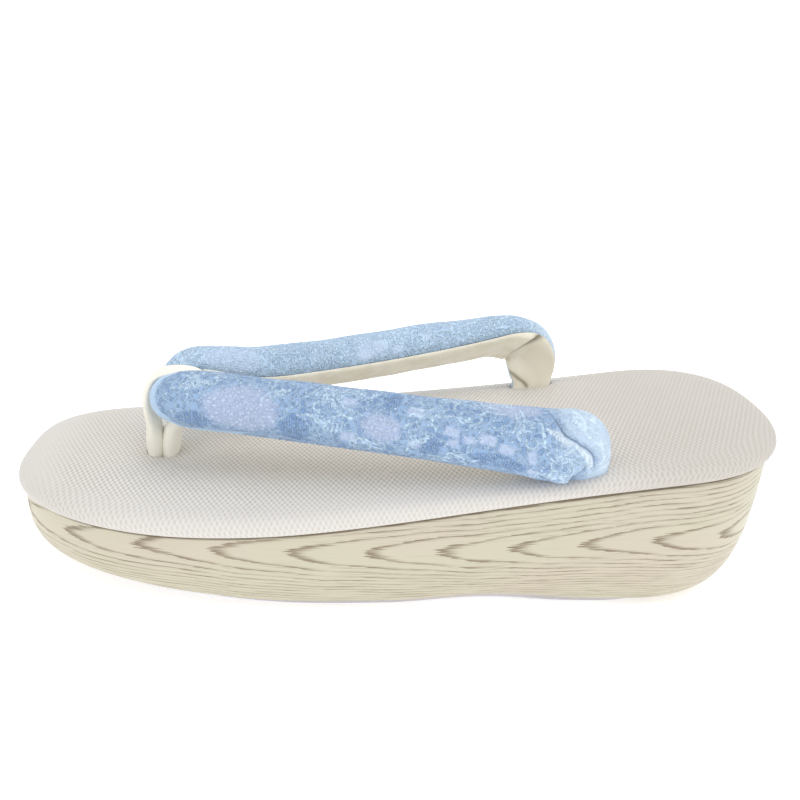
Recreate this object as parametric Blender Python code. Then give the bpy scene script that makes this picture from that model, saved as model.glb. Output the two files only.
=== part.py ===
"""A zori sandal: a wedge platform with a rubber outsole, a cushioned insole and a padded thong strap.

The frame is in metres. +X points to the toe, +Y to the wearer's left and +Z up. The origin is on the
floor, below the middle of the sole's length and width. The sandal is the same on both sides, so it
serves as a left or a right.
"""

import bmesh
import bpy
import numpy as np

# Driving sizes of the sole, measured over the insole's widest line
LENGTH = 0.240
BALL_WIDTH = 0.094
HEEL_WIDTH = 0.085
FRONT_HEIGHT = 0.0295
HEEL_HEIGHT = 0.0575

# Plan outline: where the width changes and how round each end is
BALL_X = 0.045
WAIST_X = -0.060
TOE_ROUND_LENGTH = 0.100
TOE_ROUND_POWER = 2.85
HEEL_ROUND_LENGTH = 0.0375
HEEL_ROUND_POWER = 2.46
SIDE_STATIONS = 34

# Side view: the wedge, the lift at the toe, the arch and the toe spring
RAMP_X = 0.047
RAMP_BLEND = 0.020
TOE_LIFT_X = 0.060
TOE_LIFT = 0.0034
TOE_SPRING_X = 0.020
TOE_SPRING = 0.0080
ARCH_X = -0.025
ARCH_HALF_LENGTH = 0.030
ARCH_RISE = 0.0016

# Layers
INSOLE_THICKNESS = 0.0064
INSOLE_CROWN = 0.0008
OUTSOLE_THICKNESS = 0.0022
GAP = 0.0003

# Platform wall: how far it stands in under the insole, and how far its foot is drawn in
WALL_INSET = 0.0016
FOOT_INSET_SIDE = 0.0057
FOOT_INSET_TOE = 0.0150
FOOT_INSET_HEEL = 0.0230
WALL_POWER = 3.4
WALL_LEVELS = (0.0, 0.25, 0.45, 0.62, 0.76, 0.87, 0.94, 0.98, 0.996, 1.0)
OUTSOLE_SETBACK = 0.0006

# Insole edge, from its lower lip over the bulge to the top: share of the thickness and distance in
INSOLE_EDGE = (
    # rise, inset
    (0.00, 0.0020),
    (0.12, 0.0006),
    (0.34, 0.0000),
    (0.60, 0.0004),
    (0.82, 0.0016),
    (0.95, 0.0036),
    (1.00, 0.0064),
)
INSOLE_TOP_INSETS = (0.014, 0.026)

# Thong strap: one row for each section, from the neck at the toe post back along an arm to its slot.
# The soft arms lie a little apart in height: the left one has sunk further towards the edge.
STRAP_COLUMNS = ("x", "out", "up", "width", "thick", "lean", "heading")
NECK_ROWS = (
    (0.0712, 0.0000, 0.0196, 0.0120, 0.0124, 90.0, 90.0),
    (0.0712, 0.0048, 0.0198, 0.0126, 0.0124, 90.0, 88.0),
    (0.0709, 0.0092, 0.0217, 0.0150, 0.0132, 74.0, 62.0),
    (0.0680, 0.0123, 0.0230, 0.0170, 0.0138, 58.0, 37.0),
    (0.0612, 0.0139, 0.0230, 0.0180, 0.0140, 46.0, 19.0),
)
LEFT_ARM_ROWS = (
    (0.0480, 0.0158, 0.0219, 0.0182, 0.0140, 39.0, 15.0),
    (0.0250, 0.0221, 0.0199, 0.0182, 0.0140, 39.0, 15.0),
    (0.0000, 0.0286, 0.0169, 0.0186, 0.0140, 43.0, 14.0),
    (-0.0200, 0.0333, 0.0136, 0.0192, 0.0140, 50.0, 10.0),
    (-0.0315, 0.0353, 0.0115, 0.0200, 0.0142, 57.0, 7.0),
    (-0.0370, 0.0361, 0.0103, 0.0204, 0.0142, 61.0, 5.0),
    (-0.0416, 0.0366, 0.0095, 0.0205, 0.0141, 65.0, 4.0),
    (-0.0454, 0.0369, 0.0089, 0.0198, 0.0137, 68.0, 2.0),
    (-0.0487, 0.0369, 0.0069, 0.0184, 0.0124, 74.0, 0.0),
    (-0.0506, 0.0367, 0.0036, 0.0162, 0.0098, 82.0, 0.0),
    (-0.0512, 0.0363, 0.0008, 0.0148, 0.0066, 90.0, 0.0),
)
RIGHT_ARM_ROWS = (
    (0.0480, 0.0158, 0.0212, 0.0182, 0.0138, 38.0, 15.0),
    (0.0250, 0.0221, 0.0202, 0.0182, 0.0138, 39.0, 15.0),
    (0.0000, 0.0286, 0.0198, 0.0183, 0.0137, 39.0, 14.0),
    (-0.0200, 0.0333, 0.0196, 0.0184, 0.0131, 40.0, 10.0),
    (-0.0335, 0.0354, 0.0197, 0.0184, 0.0117, 42.0, 6.0),
    (-0.0412, 0.0361, 0.0189, 0.0187, 0.0104, 49.0, 4.0),
    (-0.0464, 0.0363, 0.0159, 0.0190, 0.0094, 60.0, 2.0),
    (-0.0493, 0.0364, 0.0117, 0.0186, 0.0080, 73.0, 0.0),
    (-0.0504, 0.0364, 0.0071, 0.0180, 0.0070, 84.0, 0.0),
    (-0.0509, 0.0363, 0.0032, 0.0164, 0.0062, 90.0, 0.0),
    (-0.0512, 0.0362, 0.0008, 0.0148, 0.0058, 90.0, 0.0),
)
SLOT_ROWS = (
    (-0.0512, 0.0362, -0.0014, 0.0142, 0.0056, 90.0, 0.0),
    (-0.0512, 0.0362, -0.0062, 0.0142, 0.0056, 90.0, 0.0),
    (-0.0512, 0.0362, -0.0112, 0.0142, 0.0056, 90.0, 0.0),
)
STRAP_STEPS = 3
STRAP_SIDES = 20

# Strap section: the share of its thickness below the widest line, and how square each half is
FLAT_SHARE = 0.38
CROWN_SQUARENESS = 0.95
FLAT_SQUARENESS = (0.70, 0.62)

# Lining glued under the strap: thickness, share of the strap's width, and its first and last rows
LINING_THICKNESS = 0.0010
LINING_SHARE = 0.86
LEFT_LINING_ROWS = (3, 9)
RIGHT_LINING_ROWS = (3, 15)

# Toe post: a band looped over the strap's neck, one row for each section from front leg to rear leg
POST_COLUMNS = ("x", "up", "width", "thick")
POST_ROWS = (
    (0.0796, -0.0112, 0.0098, 0.0056),
    (0.0796, -0.0020, 0.0104, 0.0062),
    (0.0797, 0.0040, 0.0106, 0.0061),
    (0.0804, 0.0092, 0.0102, 0.0044),
    (0.0817, 0.0150, 0.0092, 0.0030),
    (0.0814, 0.0210, 0.0086, 0.0027),
    (0.0784, 0.0261, 0.0079, 0.0025),
    (0.0714, 0.0277, 0.0071, 0.0025),
    (0.0650, 0.0259, 0.0057, 0.0025),
    (0.0630, 0.0204, 0.0050, 0.0025),
    (0.0637, 0.0136, 0.0052, 0.0026),
    (0.0688, 0.0082, 0.0080, 0.0030),
    (0.0738, 0.0040, 0.0102, 0.0034),
    (0.0744, -0.0020, 0.0104, 0.0035),
    (0.0744, -0.0112, 0.0098, 0.0035),
)
POST_STEPS = 3
POST_SIDES = 14

# Holes in the sole for the strap's ends and the toe post
SLOT_CLEARANCE = 0.0004
SLOT_FLOOR = 0.0125
SLOT_TOP = 0.008


def ease(share):
    """A smooth step from 0 to 1."""
    share = np.clip(share, 0.0, 1.0)
    return share * share * (3.0 - 2.0 * share)


def half_width(x, front, back, narrower):
    """Half the plan width at x, between two ends, each rounded as part of a superellipse."""
    straight = HEEL_WIDTH / 2 + (BALL_WIDTH - HEEL_WIDTH) / 2 * ease((x - WAIST_X) / (BALL_X - WAIST_X))
    toe = np.clip((x - front + TOE_ROUND_LENGTH) / TOE_ROUND_LENGTH, 0.0, 1.0)
    heel = np.clip((back + HEEL_ROUND_LENGTH - x) / HEEL_ROUND_LENGTH, 0.0, 1.0)
    toe_end = (1.0 - toe**TOE_ROUND_POWER) ** (1.0 / TOE_ROUND_POWER)
    heel_end = (1.0 - heel**HEEL_ROUND_POWER) ** (1.0 / HEEL_ROUND_POWER)
    return (straight - narrower) * toe_end * heel_end


def outline(toe_inset, heel_inset, side_inset):
    """The plan outline drawn in from the insole's, as (x, y) rows: toe tip, left side, heel tip, right side.

    The stations of a side are at equal steps along its length.
    """
    front, back = LENGTH / 2 - toe_inset, -LENGTH / 2 + heel_inset
    fine = front - (front - back) * (1.0 - np.cos(np.linspace(0.0, np.pi, 2000))) / 2.0
    side = half_width(fine, front, back, side_inset)
    run = np.concatenate(([0.0], np.cumsum(np.hypot(np.diff(fine), np.diff(side)))))
    even = np.linspace(0.0, run[-1], SIDE_STATIONS + 1)
    x, y = np.interp(even, run, fine), np.interp(even, run, side)
    left = np.column_stack((x, y))
    right = (left * (1.0, -1.0))[-2:0:-1]
    return np.vstack((left, right))


def lip_height(x):
    """Height of the line where the insole's lower lip meets the platform's wall."""
    front_lip, heel_lip = FRONT_HEIGHT - INSOLE_THICKNESS, HEEL_HEIGHT - INSOLE_THICKNESS
    slope = (heel_lip - front_lip) / (RAMP_X + LENGTH / 2)
    ramp = slope * RAMP_BLEND * np.log1p(np.exp((RAMP_X - x) / RAMP_BLEND))
    toe = np.maximum(0.0, x - TOE_LIFT_X) / (LENGTH / 2 - TOE_LIFT_X)
    return front_lip + ramp + TOE_LIFT * toe**2


def top_height(x):
    """Height of the insole's top along its middle."""
    return lip_height(x) + INSOLE_THICKNESS + INSOLE_CROWN


def foot_height(x):
    """Height of the outsole's underside: flat at the heel and ball, with an arch between and toe spring."""
    toe = np.maximum(0.0, x - TOE_SPRING_X) / (LENGTH / 2 - TOE_SPRING_X)
    across = np.clip((x - ARCH_X) / ARCH_HALF_LENGTH, -1.0, 1.0)
    return TOE_SPRING * toe**2 + ARCH_RISE * (0.5 + 0.5 * np.cos(np.pi * across))


def raised(plan, height):
    """Plan points lifted to a height that is a number or a row of numbers."""
    return np.column_stack((plan, np.broadcast_to(height, len(plan))))


def zipped(first, count, flip):
    """Faces that close a ring of outline points by joining each left station to its right twin."""
    half = count // 2
    faces = []
    for i in range(half):
        face = [i, i + 1, count - i - 1, (count - i) % count]
        face = list(dict.fromkeys(first + k for k in face))
        faces.append(face[::-1] if flip else face)
    return faces


def bands(rings, count):
    """Faces that join each ring of points to the next."""
    faces = []
    for level in range(rings - 1):
        low, high = level * count, (level + 1) * count
        for i in range(count):
            j = (i + 1) % count
            faces.append((low + i, low + j, high + j, high + i))
    return faces


def add_node(name, points, faces, material):
    """A mesh object with faces that point outwards, its place in its vertices."""
    mesh = bpy.data.meshes.new(name)
    mesh.from_pydata([tuple(p) for p in points], [], faces)
    shape = bmesh.new()
    shape.from_mesh(mesh)
    bmesh.ops.recalc_face_normals(shape, faces=shape.faces)
    shape.to_mesh(mesh)
    shape.free()
    mesh.shade_smooth()
    mesh.set_sharp_from_angle(angle=np.radians(40.0))
    mesh.materials.append(material)
    node = bpy.data.objects.new(name, mesh)
    bpy.context.scene.collection.objects.link(node)
    return node


def stacked_solid(name, rings, material):
    """A closed solid through a stack of plan outlines, zipped shut at both ends."""
    count = len(rings[0])
    faces = bands(len(rings), count)
    faces += zipped(0, count, True)
    faces += zipped((len(rings) - 1) * count, count, False)
    return add_node(name, np.vstack(rings), faces, material)


def swept_solid(name, rings, material):
    """A closed solid through a row of sections, with a flat cap at each end."""
    count = len(rings[0])
    faces = bands(len(rings), count)
    faces.append(tuple(range(count))[::-1])
    last = (len(rings) - 1) * count
    faces.append(tuple(range(last, last + count)))
    return add_node(name, np.vstack(rings), faces, material)


def smooth_rows(rows, steps):
    """The rows of a table with steps - 1 more between each two, on a centripetal spline through them."""
    rows = np.array(rows, float)
    ends = np.vstack((2 * rows[0] - rows[1], rows, 2 * rows[-1] - rows[-2]))
    made = []
    for a, b, c, d in zip(ends, ends[1:], ends[2:], ends[3:]):
        for k in range(steps):
            t = k / steps
            made.append(
                0.5
                * (
                    2 * b
                    + (c - a) * t
                    + (2 * a - 5 * b + 4 * c - d) * t**2
                    + (3 * b - a - 3 * c + d) * t**3
                )
            )
    return np.vstack(made + [rows[-1]])


def finish(name, colour, roughness):
    """A Principled material."""
    material = bpy.data.materials.new(name)
    material.use_nodes = True
    shader = material.node_tree.nodes["Principled BSDF"]
    shader.inputs["Base Color"].default_value = (*colour, 1.0)
    shader.inputs["Roughness"].default_value = roughness
    shader.inputs["Metallic"].default_value = 0.0
    return material


def unit(vectors):
    """Vectors scaled to length 1."""
    return vectors / np.linalg.norm(vectors, axis=-1, keepdims=True)


def arm_frames(arm_rows):
    """An arm's path from the neck to its slot: centres, width and face directions, and sizes.

    A row's up is counted from the insole's top, its lean turns the face from up (0) to outwards (90),
    and its heading is the plan direction of the strap, 0 backwards and 90 outwards.
    """
    rows = smooth_rows(NECK_ROWS + arm_rows + SLOT_ROWS, STRAP_STEPS)
    table = dict(zip(STRAP_COLUMNS, rows.T))
    centre = np.column_stack((table["x"], table["out"], table["up"] + top_height(table["x"])))
    along = unit(np.gradient(centre, axis=0))
    along[0] = (0.0, 1.0, 0.0)
    along[-1] = along[-2] = (0.0, 0.0, -1.0)
    heading = np.radians(table["heading"])
    outwards = np.column_stack((np.sin(heading), np.cos(heading), np.zeros(len(rows))))
    upwards = unit(np.cross(along, outwards))
    upwards *= np.where(upwards[:, 2:] - upwards[:, :1] < 0, -1.0, 1.0)
    outwards = np.cross(upwards, along)
    outwards *= np.where(outwards[:, 1:2] + outwards[:, :1] < 0, -1.0, 1.0)
    lean = np.radians(table["lean"])[:, None]
    face = unit(np.sin(lean) * outwards + np.cos(lean) * upwards)
    across = np.cross(along, face)
    return centre, across, face, table["width"], table["thick"]


def strap_section():
    """A padded section of width and height 1: a crowned face over a flatter underside."""
    turn = np.arange(STRAP_SIDES) * 2 * np.pi / STRAP_SIDES
    side, height = np.cos(turn), np.sin(turn)
    under = height < 0
    tall = np.where(under, FLAT_SHARE, 1 - FLAT_SHARE)
    broad_power = np.where(under, FLAT_SQUARENESS[0], CROWN_SQUARENESS)
    tall_power = np.where(under, FLAT_SQUARENESS[1], CROWN_SQUARENESS)
    broad = np.sign(side) * np.abs(side) ** broad_power / 2
    return np.column_stack((broad, np.sign(height) * np.abs(height) ** tall_power * tall))


def section_ring(centre, across, face, width, thick, shape):
    """A unit section set across a path."""
    return centre + shape[:, :1] * width * across + shape[:, 1:] * thick * face


def mirrored(rings):
    """Rings on the other side of the sandal."""
    return [ring * (1.0, -1.0, 1.0) for ring in rings]


def strap_rings():
    """Sections of the whole strap, from the right slot round the neck to the left slot."""
    shape = strap_section()
    left = [section_ring(*frame, shape) for frame in zip(*arm_frames(LEFT_ARM_ROWS))]
    right = [section_ring(*frame, shape) for frame in zip(*arm_frames(RIGHT_ARM_ROWS))]
    return mirrored(right[:0:-1]) + left


def lining_rings(arm_rows, first, last):
    """Sections of an arm's lining, which follows the strap's underside from a first to a last row."""
    frames = list(zip(*arm_frames(arm_rows)))[first * STRAP_STEPS : last * STRAP_STEPS + 1]
    shares = np.linspace(-LINING_SHARE, LINING_SHARE, 7)
    turn = np.abs(shares) ** (1 / FLAT_SQUARENESS[0])
    depths = FLAT_SHARE * (1 - turn**2) ** (FLAT_SQUARENESS[1] / 2)
    rings = []
    for centre, across, face, width, thick in frames:
        upper = np.column_stack((shares * width / 2, -depths * thick - GAP))
        lower = (upper - (0.0, LINING_THICKNESS))[::-1]
        shape = np.vstack((upper, lower))
        rings.append(centre + shape[:, :1] * across + shape[:, 1:] * face)
    return rings


def post_rings():
    """Sections of the toe post's band, which stays in the plane between left and right."""
    table = dict(zip(POST_COLUMNS, smooth_rows(POST_ROWS, POST_STEPS).T))
    centre = np.column_stack((table["x"], table["up"] + top_height(table["x"])))
    along = unit(np.gradient(centre, axis=0))
    turn = np.arange(POST_SIDES) * 2 * np.pi / POST_SIDES
    rings = []
    for (x, z), (dx, dz), width, thick in zip(centre, along, table["width"], table["thick"]):
        side = np.sign(np.cos(turn)) * np.abs(np.cos(turn)) ** 0.8 * width / 2
        out = np.sin(turn) * thick / 2
        rings.append(np.column_stack((x + out * dz, side, z - out * dx)))
    return rings


def cutter(name, plan, low, high):
    """A helper that cuts a straight-sided hole of a plan shape."""
    rings = [raised(plan, low), raised(plan, high)]
    helper = swept_solid(name, rings, finish(name, (1.0, 1.0, 1.0), 1.0))
    helper.hide_render = True
    helper.display_type = "WIRE"
    return helper


def slot_plans():
    """Plan shapes of the two strap slots and the toe hole, each with the height of its floor."""
    shape = strap_section()
    centre, across, face, width, thick = (part[-1] for part in arm_frames(LEFT_ARM_ROWS))
    grown = width + 2 * SLOT_CLEARANCE, thick + 2 * SLOT_CLEARANCE
    left = section_ring(centre, across, face, *grown, shape)[:, :2]
    floor = top_height(centre[0]) - SLOT_FLOOR
    front, back = POST_ROWS[0], POST_ROWS[-1]
    reach = front[0] + front[3] / 2 + 3 * SLOT_CLEARANCE, back[0] - back[3] / 2 - 3 * SLOT_CLEARANCE
    half = POST_ROWS[2][2] / 2 + 2 * SLOT_CLEARANCE
    turn = np.arange(24) * 2 * np.pi / 24
    round_x = np.sign(np.cos(turn)) * np.abs(np.cos(turn)) ** 0.6
    round_y = np.sign(np.sin(turn)) * np.abs(np.sin(turn)) ** 0.6
    hole = np.column_stack((sum(reach) / 2 + round_x * (reach[0] - reach[1]) / 2, round_y * half))
    return (
        ("left_slot", left, floor),
        ("right_slot", left * (1.0, -1.0), floor),
        ("toe_hole", hole, top_height(hole[:, 0].mean()) - SLOT_FLOOR),
    )


def cut(node, helpers):
    """Boolean cuts that stay on the node."""
    for helper in helpers:
        step = node.modifiers.new(helper.name, "BOOLEAN")
        step.operation = "DIFFERENCE"
        step.solver = "EXACT"
        step.object = helper


def platform_rings():
    """Outlines of the platform: its wall runs from under the insole's lip in to a rounded foot."""
    top = outline(WALL_INSET, WALL_INSET, WALL_INSET)
    foot = outline(FOOT_INSET_TOE, FOOT_INSET_HEEL, FOOT_INSET_SIDE)
    top = raised(top, lip_height(top[:, 0]))
    foot = raised(foot, foot_height(foot[:, 0]) + OUTSOLE_THICKNESS + GAP)
    rings = []
    for level in WALL_LEVELS:
        inwards = 1.0 - (1.0 - level**WALL_POWER) ** (1.0 / WALL_POWER)
        share = np.array((inwards, inwards, level))
        rings.append(top + (foot - top) * share)
    return rings


def insole_rings():
    """Outlines of the insole, from its flat underside over the rounded edge to its crowned top."""
    rings = []
    for rise, inset in INSOLE_EDGE:
        plan = outline(inset, inset, inset)
        height = lip_height(plan[:, 0]) + GAP + rise * (INSOLE_THICKNESS - GAP)
        rings.append(raised(plan, height))
    edge = INSOLE_EDGE[-1][1]
    for inset in INSOLE_TOP_INSETS:
        plan = outline(inset, inset, inset)
        crown = INSOLE_CROWN * ease((inset - edge) / (INSOLE_TOP_INSETS[-1] - edge))
        rings.append(raised(plan, lip_height(plan[:, 0]) + INSOLE_THICKNESS + crown))
    return rings


def outsole_rings():
    """Outlines of the outsole, a sheet under the platform's foot."""
    setback = OUTSOLE_SETBACK
    plan = outline(FOOT_INSET_TOE + setback, FOOT_INSET_HEEL + setback, FOOT_INSET_SIDE + setback)
    under = foot_height(plan[:, 0])
    return [raised(plan, under), raised(plan, under + OUTSOLE_THICKNESS)]


def main():
    for leftover in list(bpy.data.objects):
        bpy.data.objects.remove(leftover)
    vinyl = finish("wood_grain_vinyl", (0.72, 0.66, 0.52), 0.45)
    weave = finish("insole_weave", (0.80, 0.78, 0.74), 0.55)
    rubber = finish("outsole_rubber", (0.62, 0.61, 0.62), 0.60)
    lace = finish("strap_lace", (0.42, 0.57, 0.80), 0.80)
    suede = finish("cream_lining", (0.78, 0.74, 0.62), 0.75)
    helpers = [cutter(name, plan, floor, floor + SLOT_FLOOR + SLOT_TOP) for name, plan, floor in slot_plans()]
    cut(stacked_solid("platform", platform_rings(), vinyl), helpers)
    cut(stacked_solid("insole", insole_rings(), weave), helpers)
    stacked_solid("outsole", outsole_rings(), rubber)
    swept_solid("straps", strap_rings(), lace)
    left_lining = lining_rings(LEFT_ARM_ROWS, *LEFT_LINING_ROWS)
    right_lining = mirrored(lining_rings(RIGHT_ARM_ROWS, *RIGHT_LINING_ROWS))
    swept_solid("strap_lining_left", left_lining, suede)
    swept_solid("strap_lining_right", right_lining, suede)
    swept_solid("toe_post", post_rings(), suede)


main()
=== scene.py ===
"""A zori sandal, dressed round its CAD frame.

Every piece is a surface worked out with numpy in the frame's metres: +X points to the toe, +Y to the
wearer's left and +Z up, and the floor is at zero. Patterns follow the surfaces through UV maps and
attributes, which hold real distances, so that a weave or a grain keeps its true scale.
"""

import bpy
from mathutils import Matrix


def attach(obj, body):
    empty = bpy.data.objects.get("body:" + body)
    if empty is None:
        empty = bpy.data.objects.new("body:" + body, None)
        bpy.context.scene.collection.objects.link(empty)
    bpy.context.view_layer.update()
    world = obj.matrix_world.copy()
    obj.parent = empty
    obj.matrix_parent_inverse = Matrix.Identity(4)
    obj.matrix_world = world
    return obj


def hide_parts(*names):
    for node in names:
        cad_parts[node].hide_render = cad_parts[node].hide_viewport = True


bl_info = {
    "name": "Zori sandal",
    "version": (1, 0, 0),
    "blender": (4, 5, 0),
    "location": "3D View > Sidebar > Zori",
    "description": "Builds a wedge zori with a woven insole, wood-grain sides and a padded lace strap",
    "category": "Object",
}

from types import SimpleNamespace

import bpy
import numpy as np
from bpy.props import FloatProperty, FloatVectorProperty, IntProperty, PointerProperty
from mathutils import Matrix, Vector

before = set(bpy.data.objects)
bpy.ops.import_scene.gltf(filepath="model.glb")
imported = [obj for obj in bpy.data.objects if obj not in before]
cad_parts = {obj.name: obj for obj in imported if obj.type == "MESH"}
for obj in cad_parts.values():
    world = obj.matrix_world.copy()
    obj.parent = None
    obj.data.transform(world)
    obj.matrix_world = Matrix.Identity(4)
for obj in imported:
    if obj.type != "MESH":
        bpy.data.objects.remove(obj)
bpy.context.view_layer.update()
MILLIMETRES = 1000.0
FINE_STEPS = 4000
TINY = 1e-12

# Display colours to linear ones: the straight part's slope and end, then the curved part
DISPLAY_SLOPE = 12.92
DISPLAY_KNEE = 0.04045
DISPLAY_OFFSET = 0.055
DISPLAY_POWER = 2.4

# Plan outline: where the width changes and how round each end is
BALL_X = 0.045
WAIST_X = -0.060
TOE_ROUND_LENGTH = 0.100
TOE_ROUND_POWER = 2.85
HEEL_ROUND_LENGTH = 0.0375
HEEL_ROUND_POWER = 2.46

# Side view: the wedge, the lift at the toe, the arch and the toe spring
RAMP_X = 0.047
RAMP_BLEND = 0.020
TOE_LIFT_X = 0.060
TOE_LIFT = 0.0034
TOE_SPRING_X = 0.020
TOE_SPRING = 0.0080
ARCH_X = -0.025
ARCH_HALF_LENGTH = 0.030
ARCH_RISE = 0.0016

# Layers and the platform's wall
INSOLE_CROWN = 0.0008
OUTSOLE_THICKNESS = 0.0022
GAP = 0.0003
WALL_INSET = 0.0016
FOOT_INSET_SIDE = 0.0057
FOOT_INSET_TOE = 0.0150
FOOT_INSET_HEEL = 0.0230
WALL_POWER = 3.4
WALL_TOP_LEVELS = (0.0, 0.03, 0.08, 0.14, 0.20)
WALL_TURN_FROM = 0.24
WALL_TURNS = 34

# Insole edge, from its lower lip over the bulge to the top: share of the thickness and distance in
INSOLE_EDGE = (
    # rise, inset
    (0.00, 0.0020),
    (0.12, 0.0006),
    (0.34, 0.0000),
    (0.60, 0.0004),
    (0.82, 0.0016),
    (0.95, 0.0036),
    (1.00, 0.0064),
)
EDGE_STEPS = 4
CROWN_REACH = 0.020

# Outsole: its rounded lower edge, and its tread of waved grooves
OUTSOLE_SETBACK = 0.0006
OUTSOLE_EDGE = (
    # rise, inset
    (0.00, 0.0011),
    (0.06, 0.0005),
    (0.18, 0.0001),
    (0.34, 0.0000),
    (1.00, 0.0000),
)
OUTSOLE_EDGE_STEPS = 3
OUTSOLE_ACROSS = 100
TREAD_PITCH = 0.0042
TREAD_DEPTH = 0.0005
TREAD_MARGIN = 0.0045
TREAD_MARGIN_FADE = 0.0012
TREAD_WAVE = 0.35
TREAD_WAVE_PITCH = 0.012
TREAD_GROOVE_FROM = 0.15
TREAD_GROOVE_FADE = 0.60

# Printed wood grain: distances along the sheet from the toe tip, and heights, in millimetres
GRAIN_AXIS_HEIGHT = 21.3
GRAIN_AXIS_RISE_FROM = 165.0
GRAIN_AXIS_RISE = 0.075
GRAIN_PITCH = 22.25
GRAIN_FIRST_ARCH = 18.8
GRAIN_STRAIGHT_ABOVE = 6.6
GRAIN_STRAIGHT_BELOW = 11.5

# Thong strap: one row for each section, from the neck at the toe loop back along an arm to its slot
STRAP_COLUMNS = ("x", "out", "up", "width", "thick", "lean", "heading")
NECK_ROWS = (
    (0.0712, 0.0000, 0.0196, 0.0120, 0.0124, 90.0, 90.0),
    (0.0712, 0.0048, 0.0198, 0.0126, 0.0124, 90.0, 88.0),
    (0.0709, 0.0092, 0.0217, 0.0150, 0.0132, 74.0, 62.0),
    (0.0680, 0.0123, 0.0230, 0.0170, 0.0138, 58.0, 37.0),
    (0.0612, 0.0139, 0.0230, 0.0180, 0.0140, 46.0, 19.0),
)
LEFT_ARM_ROWS = (
    (0.0480, 0.0158, 0.0219, 0.0182, 0.0140, 39.0, 15.0),
    (0.0250, 0.0221, 0.0199, 0.0182, 0.0140, 39.0, 15.0),
    (0.0000, 0.0286, 0.0169, 0.0186, 0.0140, 43.0, 14.0),
    (-0.0200, 0.0333, 0.0136, 0.0192, 0.0140, 50.0, 10.0),
    (-0.0315, 0.0353, 0.0115, 0.0200, 0.0142, 57.0, 7.0),
    (-0.0370, 0.0361, 0.0103, 0.0204, 0.0142, 61.0, 5.0),
    (-0.0416, 0.0366, 0.0095, 0.0205, 0.0141, 65.0, 4.0),
    (-0.0454, 0.0369, 0.0089, 0.0198, 0.0137, 68.0, 2.0),
    (-0.0487, 0.0369, 0.0069, 0.0184, 0.0124, 74.0, 0.0),
    (-0.0506, 0.0367, 0.0036, 0.0162, 0.0098, 82.0, 0.0),
    (-0.0512, 0.0363, 0.0008, 0.0148, 0.0066, 90.0, 0.0),
)
RIGHT_ARM_ROWS = (
    (0.0480, 0.0158, 0.0212, 0.0182, 0.0138, 38.0, 15.0),
    (0.0250, 0.0221, 0.0202, 0.0182, 0.0138, 39.0, 15.0),
    (0.0000, 0.0286, 0.0198, 0.0183, 0.0137, 39.0, 14.0),
    (-0.0200, 0.0333, 0.0196, 0.0184, 0.0131, 40.0, 10.0),
    (-0.0335, 0.0354, 0.0197, 0.0184, 0.0117, 42.0, 6.0),
    (-0.0412, 0.0361, 0.0189, 0.0187, 0.0104, 49.0, 4.0),
    (-0.0464, 0.0363, 0.0159, 0.0190, 0.0094, 60.0, 2.0),
    (-0.0493, 0.0364, 0.0117, 0.0186, 0.0080, 73.0, 0.0),
    (-0.0504, 0.0364, 0.0071, 0.0180, 0.0070, 84.0, 0.0),
    (-0.0509, 0.0363, 0.0032, 0.0164, 0.0062, 90.0, 0.0),
    (-0.0512, 0.0362, 0.0008, 0.0148, 0.0058, 90.0, 0.0),
)
SLOT_ROWS = (
    (-0.0512, 0.0362, -0.0014, 0.0142, 0.0056, 90.0, 0.0),
    (-0.0512, 0.0362, -0.0062, 0.0142, 0.0056, 90.0, 0.0),
    (-0.0512, 0.0362, -0.0112, 0.0142, 0.0056, 90.0, 0.0),
)
ROW_STEPS = 3
ROW_POINTS = 8
SIDEWAYS_COLUMNS = [1, 4, 7]

# Strap section: the share of its height below the widest line, how square each half is, the size at
# which its points are spaced, and how little a step counts on the underside, where they lie wider apart
FLAT_SHARE = 0.38
CROWN_SQUARENESS = 0.95
FLAT_SQUARENESS = (0.70, 0.62)
SECTION_SIZE = (0.018, 0.0139)
UNDERSIDE_SPARING = 0.62

# Strap surface, in millimetres: where it is free to swell, how deep the net and ribs are sunk, where
# its face begins in shares of the section's height, and the waves of its padding
STRAP_FREE_LENGTH = 148.0
STRAP_FREE_FADE = 8.0
SUNK_NET = 0.10
SUNK_RIB = 0.12
FACE_FROM = -0.10
FACE_FADE = 0.20
PUFF_SHORT = 5.3
PUFF_WAVER = 1.1
PUFF_WAVER_ROUND = 6.0
PUFF_ROUND = 4.6
PUFF_SLANT = 17.0
PUFF_LONG = 11.0
PUFF_LONG_START = 2.0
PUFF_LONG_ROUND = 7.5
PUFF_LONG_SHARE = 0.6

# Lining under the strap: thickness, share of the strap's width, and its first row, its last row and
# the steps by which it goes on into its slot
LINING_THICKNESS = 0.0010
LINING_SHARE = 0.86
LEFT_LINING_ROWS = (3, 9, 0)
RIGHT_LINING_ROWS = (3, 15, 4)
LINING_POINTS = 41
LINING_EDGE = 0.07
LINING_LEAST = 0.02
LINING_WAVE = 0.22
LINING_WAVE_SHORT = 3.1
LINING_WAVE_LONG = 9.0
LINING_SLANT_SHORT = 3.0
LINING_SLANT_LONG = 5.0

# The right lining's leg, in millimetres from its lower end: where it is wide, the ledge over it and
# its folds, whose depth is in shares of the lining's thickness and also sets the painted shade along each
# fold
LEG_SHARE = 0.96
LEG_LENGTH = 26.0
LEG_FADE = 8.0
FOLD_PLACE = 22.6
FOLD_SLANT = 3.2
FOLD_STEP = 0.8
FOLD_REACH = 9.0
LEDGE = 3.0
LINING_HALF_WIDTH = 8.5
LINING_FOLDS = (
    # from_end, across, length, turn, half_width, depth
    (25.5, 9.0, 19.0, -110.0, 0.9, 0.35),
    (8.4, 9.0, 9.0, -136.0, 0.9, 0.30),
)

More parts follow.
